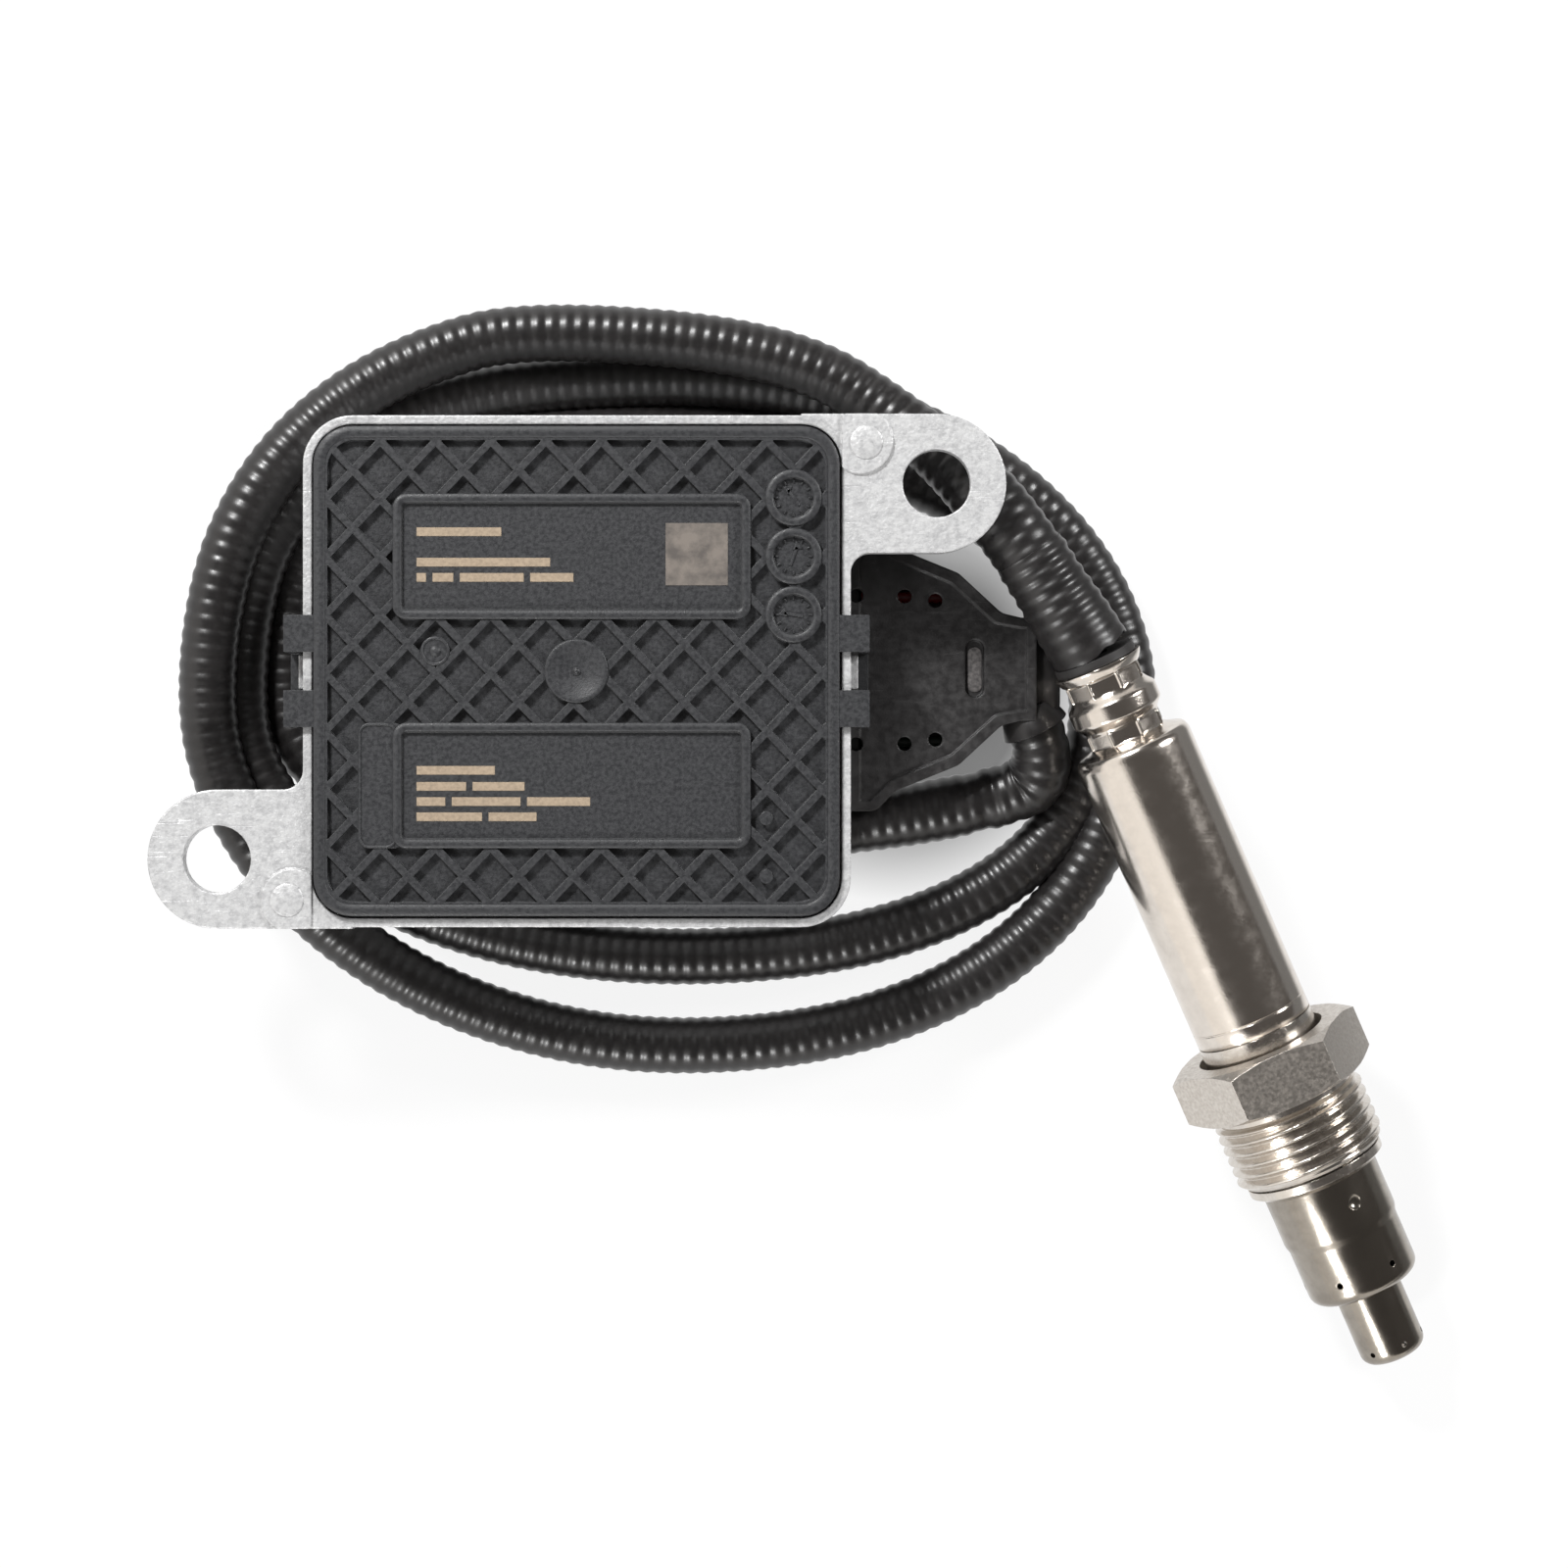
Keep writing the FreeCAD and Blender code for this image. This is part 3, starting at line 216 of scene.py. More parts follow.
FINISHES = {
    "cast": Finish(
        "sandy cast aluminium", (0.66, 0.66, 0.66), (0.33, 0.33, 0.335), 0.46,
        metallic=0.4, grain_mm=0.42, grain_depth_mm=0.08, mottle_mm=0.8, mottle=0.8, scratch=0.25,
        edge_round_mm=0.35,
    ),
    "cover": Finish(
        "black grained moulding", (0.020, 0.0205, 0.0225), (0.038, 0.039, 0.042), 0.5,
        grain_mm=0.22, grain_depth_mm=0.03, mottle_mm=0.5, mottle=0.5, scratch=0.15,
        gloss_spread=0.12, edge_round_mm=0.16,
    ),
    "hood": Finish(
        "scuffed black moulding", (0.019, 0.018, 0.0183), (0.044, 0.042, 0.042), 0.45,
        grain_mm=0.26, grain_depth_mm=0.015, mottle_mm=1.2, mottle=0.4, scratch=0.8,
        gloss_spread=0.12, edge_round_mm=0.4,
    ),
    "conduit": Finish(
        "glossy black conduit", (0.012, 0.011, 0.011), (0.02, 0.018, 0.0175), 0.36,
        grain_mm=0.4, grain_depth_mm=0.01, mottle_mm=2.0, mottle=0.5, gloss_spread=0.05,
        edge_round_mm=0.05,
    ),
    "rubber": Finish("soft black rubber", (0.012, 0.011, 0.011), (0.03, 0.028, 0.027), 0.55),
    "steel": Finish(
        "satin stainless steel", (0.72, 0.665, 0.605), (0.60, 0.55, 0.50), 0.17,
        metallic=1.0, grain_mm=0.2, grain_depth_mm=0.012, mottle_mm=2.0, mottle=0.5, scratch=0.2,
        gloss_spread=0.04, edge_round_mm=0.15,
    ),
    "turned": Finish(
        "turned stainless steel", (0.66, 0.62, 0.57), (0.54, 0.49, 0.44), 0.22,
        metallic=1.0, grain_mm=0.35, grain_depth_mm=0.012, mottle_mm=1.0, mottle=0.6, scratch=0.3,
        gloss_spread=0.06,
    ),
    "drawn": Finish(
        "drawn hexagon bar", (0.64, 0.60, 0.55), (0.46, 0.42, 0.38), 0.4,
        metallic=1.0, grain_mm=0.3, grain_depth_mm=0.04, mottle_mm=0.5, mottle=0.8, scratch=0.3,
        gloss_spread=0.08,
    ),
    "heated": Finish(
        "heat-tinted stainless steel", (0.34, 0.31, 0.27), (0.19, 0.168, 0.145), 0.2,
        metallic=1.0, grain_mm=0.2, grain_depth_mm=0.008, mottle_mm=3.0, mottle=0.5, scratch=0.2,
        gloss_spread=0.04,
    ),
    "ceramic": Finish("unglazed ceramic", (0.80, 0.78, 0.72), (0.7, 0.68, 0.62), 0.7),
    "board": Finish("green solder resist", (0.02, 0.16, 0.06), (0.03, 0.22, 0.09), 0.35),
    "chip": Finish("moulded chip", (0.03, 0.03, 0.032), (0.05, 0.05, 0.052), 0.6),
    "can": Finish("drawn aluminium can", (0.8, 0.8, 0.8), (0.7, 0.7, 0.7), 0.3, metallic=1.0),
    "contact": Finish("plated contact", (0.85, 0.66, 0.30), (0.75, 0.56, 0.24), 0.3, metallic=1.0),
    "mark": Finish(
        "tan laser mark", (0.33, 0.255, 0.18), (0.19, 0.148, 0.105), 0.8, grain_mm=0.2,
        mottle_mm=0.5, mottle=0.6,
    ),
    "square": Finish(
        "faded tan laser mark", (0.16, 0.137, 0.118), (0.075, 0.066, 0.06), 0.8, grain_mm=0.2,
        mottle_mm=2.2, mottle=0.9,
    ),
    "pad": Finish(
        "speckled grey pad", (0.12, 0.11, 0.107), (0.035, 0.033, 0.033), 0.7, grain_mm=0.3,
        mottle_mm=0.5, mottle=0.9,
    ),
    "wire_red": Finish("red wire insulation", (0.2, 0.012, 0.012), (0.12, 0.008, 0.008), 0.4),
    "wire_dark": Finish("dark wire insulation", (0.02, 0.03, 0.022), (0.03, 0.04, 0.03), 0.4),
    "wire_pale": Finish("grey wire insulation", (0.4, 0.4, 0.4), (0.3, 0.3, 0.3), 0.4),
}

CAD_FINISHES = {
    "cast": ("housing_tray",),
    "cover": ("housing_cover", "vehicle_connector"),
    "hood": ("hood_upper", "hood_lower"),
    "rubber": ("cover_gasket", "cable_grommet"),
    "turned": ("sensor_body",),
    "heated": ("outer_cap", "inner_cap"),
    "ceramic": ("contact_carrier", "rear_ceramic_bush", "talc_ring", "sensing_element"),
    "board": ("circuit_board",),
    "chip": ("signal_processor", "heater_driver", "bus_transceiver"),
    "can": ("storage_capacitor",),
    "contact": (
        *(f"vehicle_pin_{number}" for number in range(1, 6)),
        "contact_spring_upper",
        "contact_spring_lower",
    ),
    "wire_red": ("hood_wire_1",),
    "wire_dark": ("hood_wire_2", "hood_wire_3", "hood_wire_5", "hood_wire_6"),
    "wire_pale": ("hood_wire_4",),
}


class Workshop:
    """Makes finished mesh objects and keeps the materials."""

    def __init__(self) -> None:
        """Builds every finish once."""
        grain = surface_grain()
        self.materials = {key: finish.build(grain) for key, finish in FINISHES.items()}

    def dress_frame(self) -> None:
        """Gives every carried-over solid its finish."""
        for key, names in CAD_FINISHES.items():
            for name in names:
                node = frame["nodes"][name]
                node.data.materials.clear()
                node.data.materials.append(self.materials[key])

    def adopt(
        self,
        piece: bpy.types.Object,
        finish: str,
        slot: str,
        body: Body = Body.SENSOR,
        smooth_deg: float = 40.0,
    ) -> None:
        """Finishes a new piece and lets it ride on a body.

        Args:
            piece: the new mesh object.
            finish: the key of its finish.
            slot: the record's material slot; not used.
            body: the body that carries it.
            smooth_deg: edges flatter than this are shaded smooth.
        """
        piece.data.materials.clear()
        piece.data.materials.append(self.materials[finish])
        bpy.ops.object.select_all(action="DESELECT")
        piece.select_set(True)
        bpy.context.view_layer.objects.active = piece
        bpy.ops.object.transform_apply(location=True, rotation=True, scale=True)
        bpy.ops.object.shade_smooth_by_angle(angle=math.radians(smooth_deg))
        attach(piece, body.value)
        LOG.info("made %s", piece.name)


def add_object(name: str, data: bpy.types.ID) -> bpy.types.Object:
    """Puts a mesh, curve, lamp or camera into the scene.

    Args:
        name: the new object's name.
        data: what it shows.

    Returns:
        The object.
    """
    piece = bpy.data.objects.new(name, data)
    bpy.context.scene.collection.objects.link(piece)
    return piece


def add_shapes(name: str, shapes: bmesh.types.BMesh) -> bpy.types.Object:
    """Puts an edit mesh into the scene and frees it.

    Args:
        name: the new object's name.
        shapes: the edit mesh.

    Returns:
        The object.
    """
    mesh = bpy.data.meshes.new(name)
    shapes.to_mesh(mesh)
    shapes.free()
    return add_object(name, mesh)


def add_box(shapes: bmesh.types.BMesh, place: Matrix, size: Triple) -> None:
    """Adds a box to an edit mesh at a place, its size in millimetres."""
    stretch = Matrix.Diagonal((*(length * MM for length in size), 1.0))
    bmesh.ops.create_cube(shapes, size=1.0, matrix=place @ stretch)


def skin(name: str, rings: np.ndarray, closed_ends: bool = True) -> bpy.types.Object:
    """Joins rings of points into one closed mesh.

    Args:
        name: the object's name.
        rings: an array of rings by points by three, in metres, turning right-handed along the rings.
        closed_ends: whether the first and last ring get a face; otherwise they are joined to each other.

    Returns:
        The mesh object.
    """
    count, around = rings.shape[0], rings.shape[1]
    faces = []
    last = count - 1 if closed_ends else count
    for ring in range(last):
        low, high = ring * around, ((ring + 1) % count) * around
        for spot in range(around):
            after = (spot + 1) % around
            faces.append((low + spot, low + after, high + after, high + spot))
    if closed_ends:
        faces.append(tuple(reversed(range(around))))
        faces.append(tuple(range((count - 1) * around, count * around)))
    mesh = bpy.data.meshes.new(name)
    mesh.from_pydata(rings.reshape(-1, 3).tolist(), [], faces)
    return add_object(name, mesh)


def lathe(name: str, place: Matrix, stations: np.ndarray, radii: np.ndarray) -> bpy.types.Object:
    """A closed shell turned about an axis, whose radius may change round it.

    Args:
        name: the object's name.
        place: where the axis lies; its Z runs along the stations.
        stations: the height of each ring, in millimetres.
        radii: rings by directions, in millimetres; the section closes on itself.

    Returns:
        The mesh object.
    """
    around = radii.shape[1]
    turns = np.linspace(0.0, 2 * math.pi, around, endpoint=False)
    rings = np.zeros((len(stations), around, 3))
    rings[:, :, 0] = radii * np.cos(turns)
    rings[:, :, 1] = radii * np.sin(turns)
    rings[:, :, 2] = stations[:, None] if stations.ndim == 1 else stations
    piece = skin(name, rings * MM, closed_ends=False)
    piece.data.transform(place)
    return piece


def turned(name: str, place: Matrix, profile: list[Pair], around: int) -> bpy.types.Object:
    """A closed shell turned from the radius and station of each point, in millimetres."""
    radii, stations = np.array(profile).T
    return lathe(name, place, stations, np.repeat(radii[:, None], around, axis=1))


def soften(piece: bpy.types.Object, segments: int, angle_deg: float) -> None:
    """Rounds a piece's edges a little.

    Args:
        piece: the mesh object.
        segments: how many strips each edge gets.
        angle_deg: only edges that are sharper than this are rounded.
    """
    width = 0.12
    change = piece.modifiers.new("edges", "BEVEL")
    change.width = width * MM
    change.segments = segments
    change.angle_limit = math.radians(angle_deg)
    bpy.context.view_layer.objects.active = piece
    bpy.ops.object.modifier_apply(modifier="edges")


def blend(low: float, high: float, where: np.ndarray) -> np.ndarray:
    """A smooth step from 0 at low to 1 at high, read at each of some places."""
    share = np.clip((where - low) / (high - low), 0.0, 1.0)
    return share * share * (3 - 2 * share)


def axis_place(start: Vector, axis: Vector) -> Matrix:
    """A place at a point, with Z along an axis and X as near to upright as it can be."""
    up = (Vector((0, 0, 1)) - axis * axis.z).normalized()
    return Matrix.Translation(start) @ Matrix((up, axis.cross(up), axis)).transposed().to_4x4()


def probe_place() -> Matrix:
    """The probe's own place: Z towards the tip, X up, zero at the rear face of the hexagon."""
    joint = frame["joints"][0]
    axis = Vector(joint["axis"]).normalized()
    hex_middle = 3.5 * MM
    return axis_place(Vector(joint["pos_m"]) - axis * hex_middle, axis)


def rounded_loop(length: float, width: float, corner: float) -> np.ndarray:
    """Points round a rectangle with rounded corners, in millimetres, about its middle.

    Args:
        length: its size across.
        width: its size along.
        corner: the radius of its corners.

    Returns:
        The points, turning left.
    """
    points = []
    steps = 8
    for number, (right, far) in enumerate(((1, 1), (-1, 1), (-1, -1), (1, -1))):
        for step in range(steps):
            turn = math.pi / 2 * (number + step / (steps - 1))
            across = right * (length / 2 - corner) + corner * math.cos(turn)
            along = far * (width / 2 - corner) + corner * math.sin(turn)
            points.append((across, along))
    return np.array(points)


def loop_rings(origin: Triple, spot: Pair, outline: Triple, rows: tuple[Pair, ...]) -> np.ndarray:
    """Stacks rounded outlines over each other.

    Args:
        origin: the place that the rest is measured from, in metres.
        spot: the outline's middle across and along, in millimetres.
        outline: its length, width and corner radius, in millimetres.
        rows: how far each ring is drawn in and how high it lies, in millimetres.

    Returns:
        The rings, for skin.
    """
    length, width, corner = outline
    rings = []
    for inset, height in rows:
        loop = rounded_loop(length - 2 * inset, width - 2 * inset, max(corner - inset, LEAST_CORNER))
        level = np.full((len(loop), 1), height)
        rings.append(np.array(origin) + np.hstack([loop + spot, level]) * MM)
    return np.array(rings)


@dataclass
class ConduitRoute:
    """The conduit's line from the hood, three loose turns round the module, and up to the probe.

    All places are in millimetres. Each crossing says where the coil passes one side: the side's
    letter, its place across or along, its height, and how full the quarter turn after it is: 1 for an
    ellipse, less for a squarer one.
    """

    from_hood: tuple[Triple, ...] = (
        (29.79, 22.45, 9.76),
        (32.33, 17.15, 8.55),
        (27.4, 12.0, 5.4),
    )
    to_probe: tuple[Triple, ...] = (
        (-1.5, 70.3, 11.3),
        (14.0, 60.4, 12.6),
        (24.43, 50.31, 18.66),
        (30.4, 41.11, 19.29),
    )
    centre: Pair = (-16.0, 25.0)
    crossings: tuple[tuple[str, float, float, float], ...] = (
        ("S", 3.3, 3.75, 1.02),
        ("W", -67.4, 3.75, 0.64),
        ("N", 60.2, 3.75, 0.97),
        ("E", 39.0, 3.75, 0.88),
        ("S", -8.4, 3.75, 0.98),
        ("W", -73.0, 8.6, 0.76),
        ("N", 67.4, 3.9, 1.01),
        ("E", 43.2, 4.2, 0.9),
        ("S", -20.1, 3.75, 1.04),
        ("W", -76.4, 14.4, 0.84),
        ("N", 74.8, 9.3, 1.0),
    )
    points_per_quarter: int = 6

    def coil(self) -> list[Triple]:
        """Works out the coil's points between its crossings, quarter turn by quarter turn.

        Returns:
            The points, in millimetres.
        """
        middle_x, middle_y = self.centre
        points = []
        for number in range(len(self.crossings) - 1):
            side, reach, height, fullness = self.crossings[number]
            _, next_reach, next_height, _ = self.crossings[number + 1]
            for step in range(self.points_per_quarter):
                share = step / self.points_per_quarter
                turn = share * math.pi / 2
                fade, grow = math.cos(turn) ** fullness, math.sin(turn) ** fullness
                rise = height + (next_height - height) * share * share * (3 - 2 * share)
                if side in "SN":
                    across, along = (next_reach - middle_x) * grow, (reach - middle_y) * fade
                else:
                    across, along = (reach - middle_x) * fade, (next_reach - middle_y) * grow
                points.append((middle_x + across, middle_y + along, rise))
        return points

    def control_points(self) -> list[Triple]:
        """All control points, in millimetres, from the hood to the probe."""
        coil = self.coil()
        return [*self.from_hood, *coil[1:], *self.to_probe]


@dataclass
class Conduit:
    """The ribbed conduit, its boot, the collar at the hood's outlet and a dark skirt there, partly painted
    shade.
    """

    shop: Workshop
    route: ConduitRoute = field(default_factory=ConduitRoute)
    diameter: float = 7.4
    rib_pitch: float = 1.85
    rib_depth: float = 0.17
    rib_sharpness: float = 0.7
    rings_per_rib: int = 6
    sides: int = 20
    loose_start: float = 0.4
    loose_in: Pair = (2.0, 8.0)
    loose_out: Pair = (22.0, 40.0)
    flare: float = 0.95
    flare_before_end: Pair = (30.0, 8.0)
    kink_at: Pair = (25.0, 10.5)
    kink_reach: float = 3.0
    kink_below: float = 8.0
    kink_depth: float = 0.16

    def line(self) -> np.ndarray:
        """Reads the smooth line from a NURBS spline with the route's points.

        Returns:
            Evenly spaced points along the line, in metres.
        """
        control = self.route.control_points()
        curve = bpy.data.curves.new("conduit_route", "CURVE")
        curve.dimensions = "3D"
        curve.resolution_u = 24
        spline = curve.splines.new("NURBS")
        spline.points.add(len(control) - 1)
        for point, place in zip(spline.points, control):
            point.co = (*(value * MM for value in place), 1.0)
        spline.order_u = 3
        spline.use_endpoint_u = True
        carrier = add_object("conduit_route", curve)
        bpy.context.view_layer.update()
        settled = carrier.evaluated_get(bpy.context.evaluated_depsgraph_get())
        mesh = bpy.data.meshes.new_from_object(settled)
        raw = np.array([vertex.co[:] for vertex in mesh.vertices])
        bpy.data.objects.remove(carrier)
        bpy.data.meshes.remove(mesh)
        lengths = np.concatenate([[0.0], np.cumsum(np.linalg.norm(np.diff(raw, axis=0), axis=1))])
        steps = int(lengths[-1] / (self.rib_pitch * MM / self.rings_per_rib))
        where = np.linspace(0.0, lengths[-1], steps)
        return np.stack([np.interp(where, lengths, raw[:, axis]) for axis in range(3)], axis=1)

    @staticmethod
    def frames(line: np.ndarray) -> tuple[np.ndarray, np.ndarray]:
        """Two directions across the line at each point, carried along without twist.

        Args:
            line: the points of the line.

        Returns:
            The first and second direction at each point.
        """
        along = np.gradient(line, axis=0)
        along /= np.linalg.norm(along, axis=1)[:, None]
        first = np.zeros_like(line)
        current = np.cross(along[0], (0.0, 0.0, 1.0))
        for number, direction in enumerate(along):
            current = current - direction * np.dot(current, direction)
            current /= np.linalg.norm(current)
            first[number] = current
        return first, np.cross(along, first)

    def ring_sizes(self, line: np.ndarray, length: float, turns: np.ndarray) -> np.ndarray:
        """Works out the ribs, the loose start, the wide end and the kink.

        Args:
            line: the points of the line, in metres.
            length: its length, in millimetres.
            turns: the directions round the line.

        Returns:
            The radius of each ring in each direction, in metres.
        """
        count = len(line)
        phase = np.arange(count) / self.rings_per_rib * 2 * math.pi
        crest = (0.5 + 0.5 * np.cos(phase)) ** self.rib_sharpness
        run = np.arange(count) * (length / count)
        flare_start, flare_stop = (length - before for before in self.flare_before_end)
        widen = self.flare * blend(flare_start, flare_stop, run)
        widen += self.loose_start * (blend(*self.loose_in, run) - blend(*self.loose_out, run))
        radius = self.diameter / 2 + widen - self.rib_depth * (1 - crest)
        away = ((line[:, :2] / MM - self.kink_at) ** 2).sum(axis=1)
        kink = np.exp(-away / self.kink_reach**2) * (line[:, 2] < self.kink_below * MM)
        waves = 0.5 + 0.5 * np.sin(2 * turns[None, :] + phase[:, None] / 3)
        return radius[:, None] * (1 - self.kink_depth * kink[:, None] * waves) * MM

    def build(self) -> None:
        line = self.line()
        length = float(np.linalg.norm(np.diff(line, axis=0), axis=1).sum())
        across, upward = self.frames(line)
        turns = np.linspace(0.0, 2 * math.pi, self.sides, endpoint=False)
        size = self.ring_sizes(line, length / MM, turns)
        rings = (
            line[:, None, :]
            + across[:, None, :] * (size * np.cos(turns))[:, :, None]
            + upward[:, None, :] * (size * np.sin(turns))[:, :, None]
        )
        self.collar()
        self.side_and_shade_fill()
        tube = skin("ribbed_conduit", rings)
        self.shop.adopt(tube, "conduit", "conduit_plastic", smooth_deg=60.0)
        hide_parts("conduit_coil", "conduit_lead_module", "conduit_lead_probe")
        boot = self.boot()
        LOG.info("conduit is %.3f m long", length)

    def collar(self) -> None:
        """Makes the small funnel round the conduit where it leaves the hood."""
        start, onward = (Vector([value * MM for value in spot]) for spot in self.route.from_hood[:2])
        outside = [(3.0, -2.2), (3.3, -1.9), (3.9, -0.6), (4.25, 0.3), (4.4, 0.9), (4.3, 1.0)]
        inside = [(3.9, 1.0), (3.45, 0.0), (2.9, -2.2)]
        place = axis_place(start, (onward - start).normalized())
        funnel = turned("outlet_collar", place, outside + inside, around=56)
        self.shop.adopt(funnel, "conduit", "hood_moulding", smooth_deg=50.0)

    def side_and_shade_fill(self) -> None:
        """Makes a dark skirt beside the conduit's way out, partly the hood's side and partly painted shade
        in the gap.
        """
        middle, outline = (29.5, 28.3), (7.6, 11.0, 1.9)
        rows = ((0.5, 4.6), (0.0, 5.2), (0.0, 11.3), (0.25, 11.8), (0.8, 12.1))
        # Painted shade: this dark piece also stands for the shadow in the gap beside the outlet.
        skirt = skin("hood_skirt_and_shade", loop_rings((0.0, 0.0, 0.0), middle, outline, rows))
        self.shop.adopt(skirt, "conduit", "hood_moulding", smooth_deg=50.0)

    def boot(self) -> bpy.types.Object:
        """Makes the smooth boot that widens over the conduit's end, with its wrinkled lip.

        Returns:
            The boot.
        """
        sleeve_lip, tucked, tail, tail_radius, wall, lip_rings = -53.2, 1.5, -3.0, 3.0, 0.75, 6
        room, widening, bulge, rib_height, rib_fade = 0.05, 0.42, 0.018, 0.08, 0.75
        dent, dent_rate = 0.05, 3.3
        place = probe_place()
        rear = Vector([value * MM for value in self.route.to_probe[-1]])
        front = place @ Vector((0, 0, sleeve_lip * MM)) - place.to_3x3() @ Vector((0, 0, 1)) * tucked * MM
        length = (front - rear).length / MM
        around = 72
        turns = np.linspace(0.0, 2 * math.pi, around, endpoint=False)
        outside = np.concatenate([np.linspace(tail, length - 0.4, 70), [length]])
        grow = self.diameter / 2 + self.flare + room + widening * blend(0.0, length * 0.8, outside)
        fade = 1 - rib_fade * blend(length * 0.35, length * 0.9, outside)
        ribs = rib_height * fade * np.cos(outside * 2 * math.pi / self.rib_pitch)
        dents = dent * np.sin(outside * dent_rate + 1.0)
        oval = bulge * np.sin(3 * turns + 0.6)[None, :] * blend(0, length, outside)[:, None]
        radii = (grow + (ribs + dents))[:, None] * (1 + oval)
        waves = ((0.28, 2, 0.8), (0.14, 7, 0.0), (0.07, 13, 2.0))
        tears = sum(height * np.sin(count * turns + shift) for height, count, shift in waves)
        ragged = outside[:, None] + blend(length - 3, length, outside)[:, None] * tears
        rings_z = np.concatenate([ragged, ragged[::-1][:lip_rings], [np.full(around, tail)]])
        rings_r = np.concatenate([radii, radii[::-1][:lip_rings] - wall, [np.full(around, tail_radius)]])
        own = axis_place(rear, (front - rear).normalized())
        boot = lathe("conduit_end_boot", own, rings_z, rings_r)
        self.shop.adopt(boot, "conduit", "conduit_plastic", smooth_deg=60.0)
        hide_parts("conduit_boot")
        return boot


@dataclass
class Probe:
    """The crimped sleeve, the threaded loose nut and the stepped cap, in millimetres along the probe."""

    shop: Workshop
    lip: float = 53.2
    sleeve_radius: float = 7.65
    shoulder_curve: float = 0.95
    shoulder_length: float = 1.5
    wall: float = 0.8
    crimp_radius: float = 5.0
    bead_radius: float = 5.93
    lip_radius: float = 5.85
    jaws: int = 8
    crimp_bands: tuple[Pair, ...] = ((-52.0, -49.6), (-45.3, -43.1))
    seam: float = -4.16
    seam_size: float = 0.07
    hex_flats: float = 22.0
    hex_height: float = 7.0
    hex_chamfer: float = 1.0
    bore_radius: float = 8.0
    thread_radius: float = 10.0
    thread_pitch: float = 1.5
    thread_depth: float = 0.85
    cap_start: float = 19.1
    cap_wall: float = 0.6
    cap_round: float = 1.5

    def outside(self, station: np.ndarray) -> np.ndarray:
        """The sleeve's smooth outer radius.

        Args:
            station: distances along the axis, in millimetres.

        Returns:
            The radius at each station.
        """
        shoulder_start = self.sleeve_radius - self.shoulder_curve
        radius = np.full_like(station, self.lip_radius)
        for low, high, growth in (
            (-self.lip, -51.3, self.crimp_radius - self.lip_radius),
            (-49.8, -48.3, self.bead_radius - self.crimp_radius),
            (-46.7, -45.2, self.crimp_radius - self.bead_radius),
            (-43.3, -42.3, shoulder_start - self.crimp_radius),
        ):
            radius += growth * blend(low, high, station)
        shoulder = np.clip((station + 42.5) / self.shoulder_length, 0.0, 1.0)
        return radius + self.shoulder_curve * np.sqrt(np.clip(1 - (1 - shoulder) ** 2, 0.0, 1.0))

    def sleeve(self) -> None:
        """Makes the drawn sleeve with its two bands of crimp flats and its seam before the nut."""
        around, band_edge, pressed, end_from, end_step = 192, 0.35, 0.85, -2.3, 0.1
        face_turn, flat_share, jaw_share = 0.35, 0.985, 0.86
        ridge_from, ridge_height, sunk = 0.455, 0.22, 0.12
        turns = np.linspace(0.0, 2 * math.pi, around, endpoint=False)
        fine = np.linspace(-self.lip, -40.5, 150)
        rest = [-36.0, -28.0, -20.0, -12.0, -6.0, -4.3, -4.22, -4.1, -4.02, -3.9, -2.4, -2.2, -2.15]
        stations = np.concatenate([fine, rest])
        smooth = self.outside(stations)
        smooth -= self.seam_size * (np.abs(stations - self.seam) < self.seam_size)
        smooth -= end_step * (stations > end_from)
        radii = np.repeat(smooth[:, None], around, axis=1)
        face = (turns * self.jaws / (2 * math.pi) + face_turn) % 1.0 - 0.5
        flat = self.crimp_radius * flat_share / np.cos(face * 2 * math.pi / self.jaws * jaw_share)
        target = flat + np.where(np.abs(face) > ridge_from, ridge_height, 0.0) - sunk
        for low, high in self.crimp_bands:
            band = blend(low, low + band_edge, stations) * (1 - blend(high - band_edge, high, stations))
            radii = radii + band[:, None] * (target[None, :] - radii) * pressed
        inner = np.minimum(radii[::-1].min(axis=1), self.sleeve_radius) - self.wall
        hollow = np.repeat(inner[:, None], around, axis=1)
        rings_z = np.concatenate([stations, stations[::-1]])
        piece = lathe("crimped_sleeve", probe_place(), rings_z, np.concatenate([radii, hollow]))
        self.shop.adopt(piece, "steel", "stainless_steel", smooth_deg=32.0)
        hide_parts("sensor_sleeve")

    def nut(self) -> None:
        """Makes the loose nut: a chamfered hexagon and a helical thread with run-out at both ends."""
        around, height, chamfer, inner, drill, recess = 96, self.hex_height, self.hex_chamfer, 8.2, 0.4, 8.45
        corner = self.hex_flats / 2 / math.cos(math.pi / 6)
        bpy.ops.mesh.primitive_cylinder_add(
            vertices=6, radius=corner * MM, depth=height * MM, location=(0, 0, height / 2 * MM)
        )
        hexagon = bpy.context.object
        hexagon.name = "nut_hexagon"
        bpy.ops.object.transform_apply(rotation=True, location=True)
        top, wide, edge = corner - chamfer * 1.6, corner + 0.3, chamfer * 0.95
        outside = [(inner, 0.0), (top, 0.0), (wide, edge)]
        outside += [(wide, height - edge), (top, height), (inner, height)]
        self.carve(hexagon, turned("nut_bevel", Matrix.Identity(4), outside, around), "INTERSECT")
        before, past = -1.0, height + 1.0
        bore = [(drill, before), (recess, before), (recess, 1.8)]
        bore += [(self.bore_radius, 1.85), (self.bore_radius, past), (drill, past)]
        self.carve(hexagon, turned("nut_bore", Matrix.Identity(4), bore, around), "DIFFERENCE")
        soften(hexagon, segments=2, angle_deg=20.0)
        hexagon.data.transform(probe_place())
        self.shop.adopt(hexagon, "drawn", "stainless_steel", Body.NUT, smooth_deg=25.0)
        self.thread()
        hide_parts("union_nut")

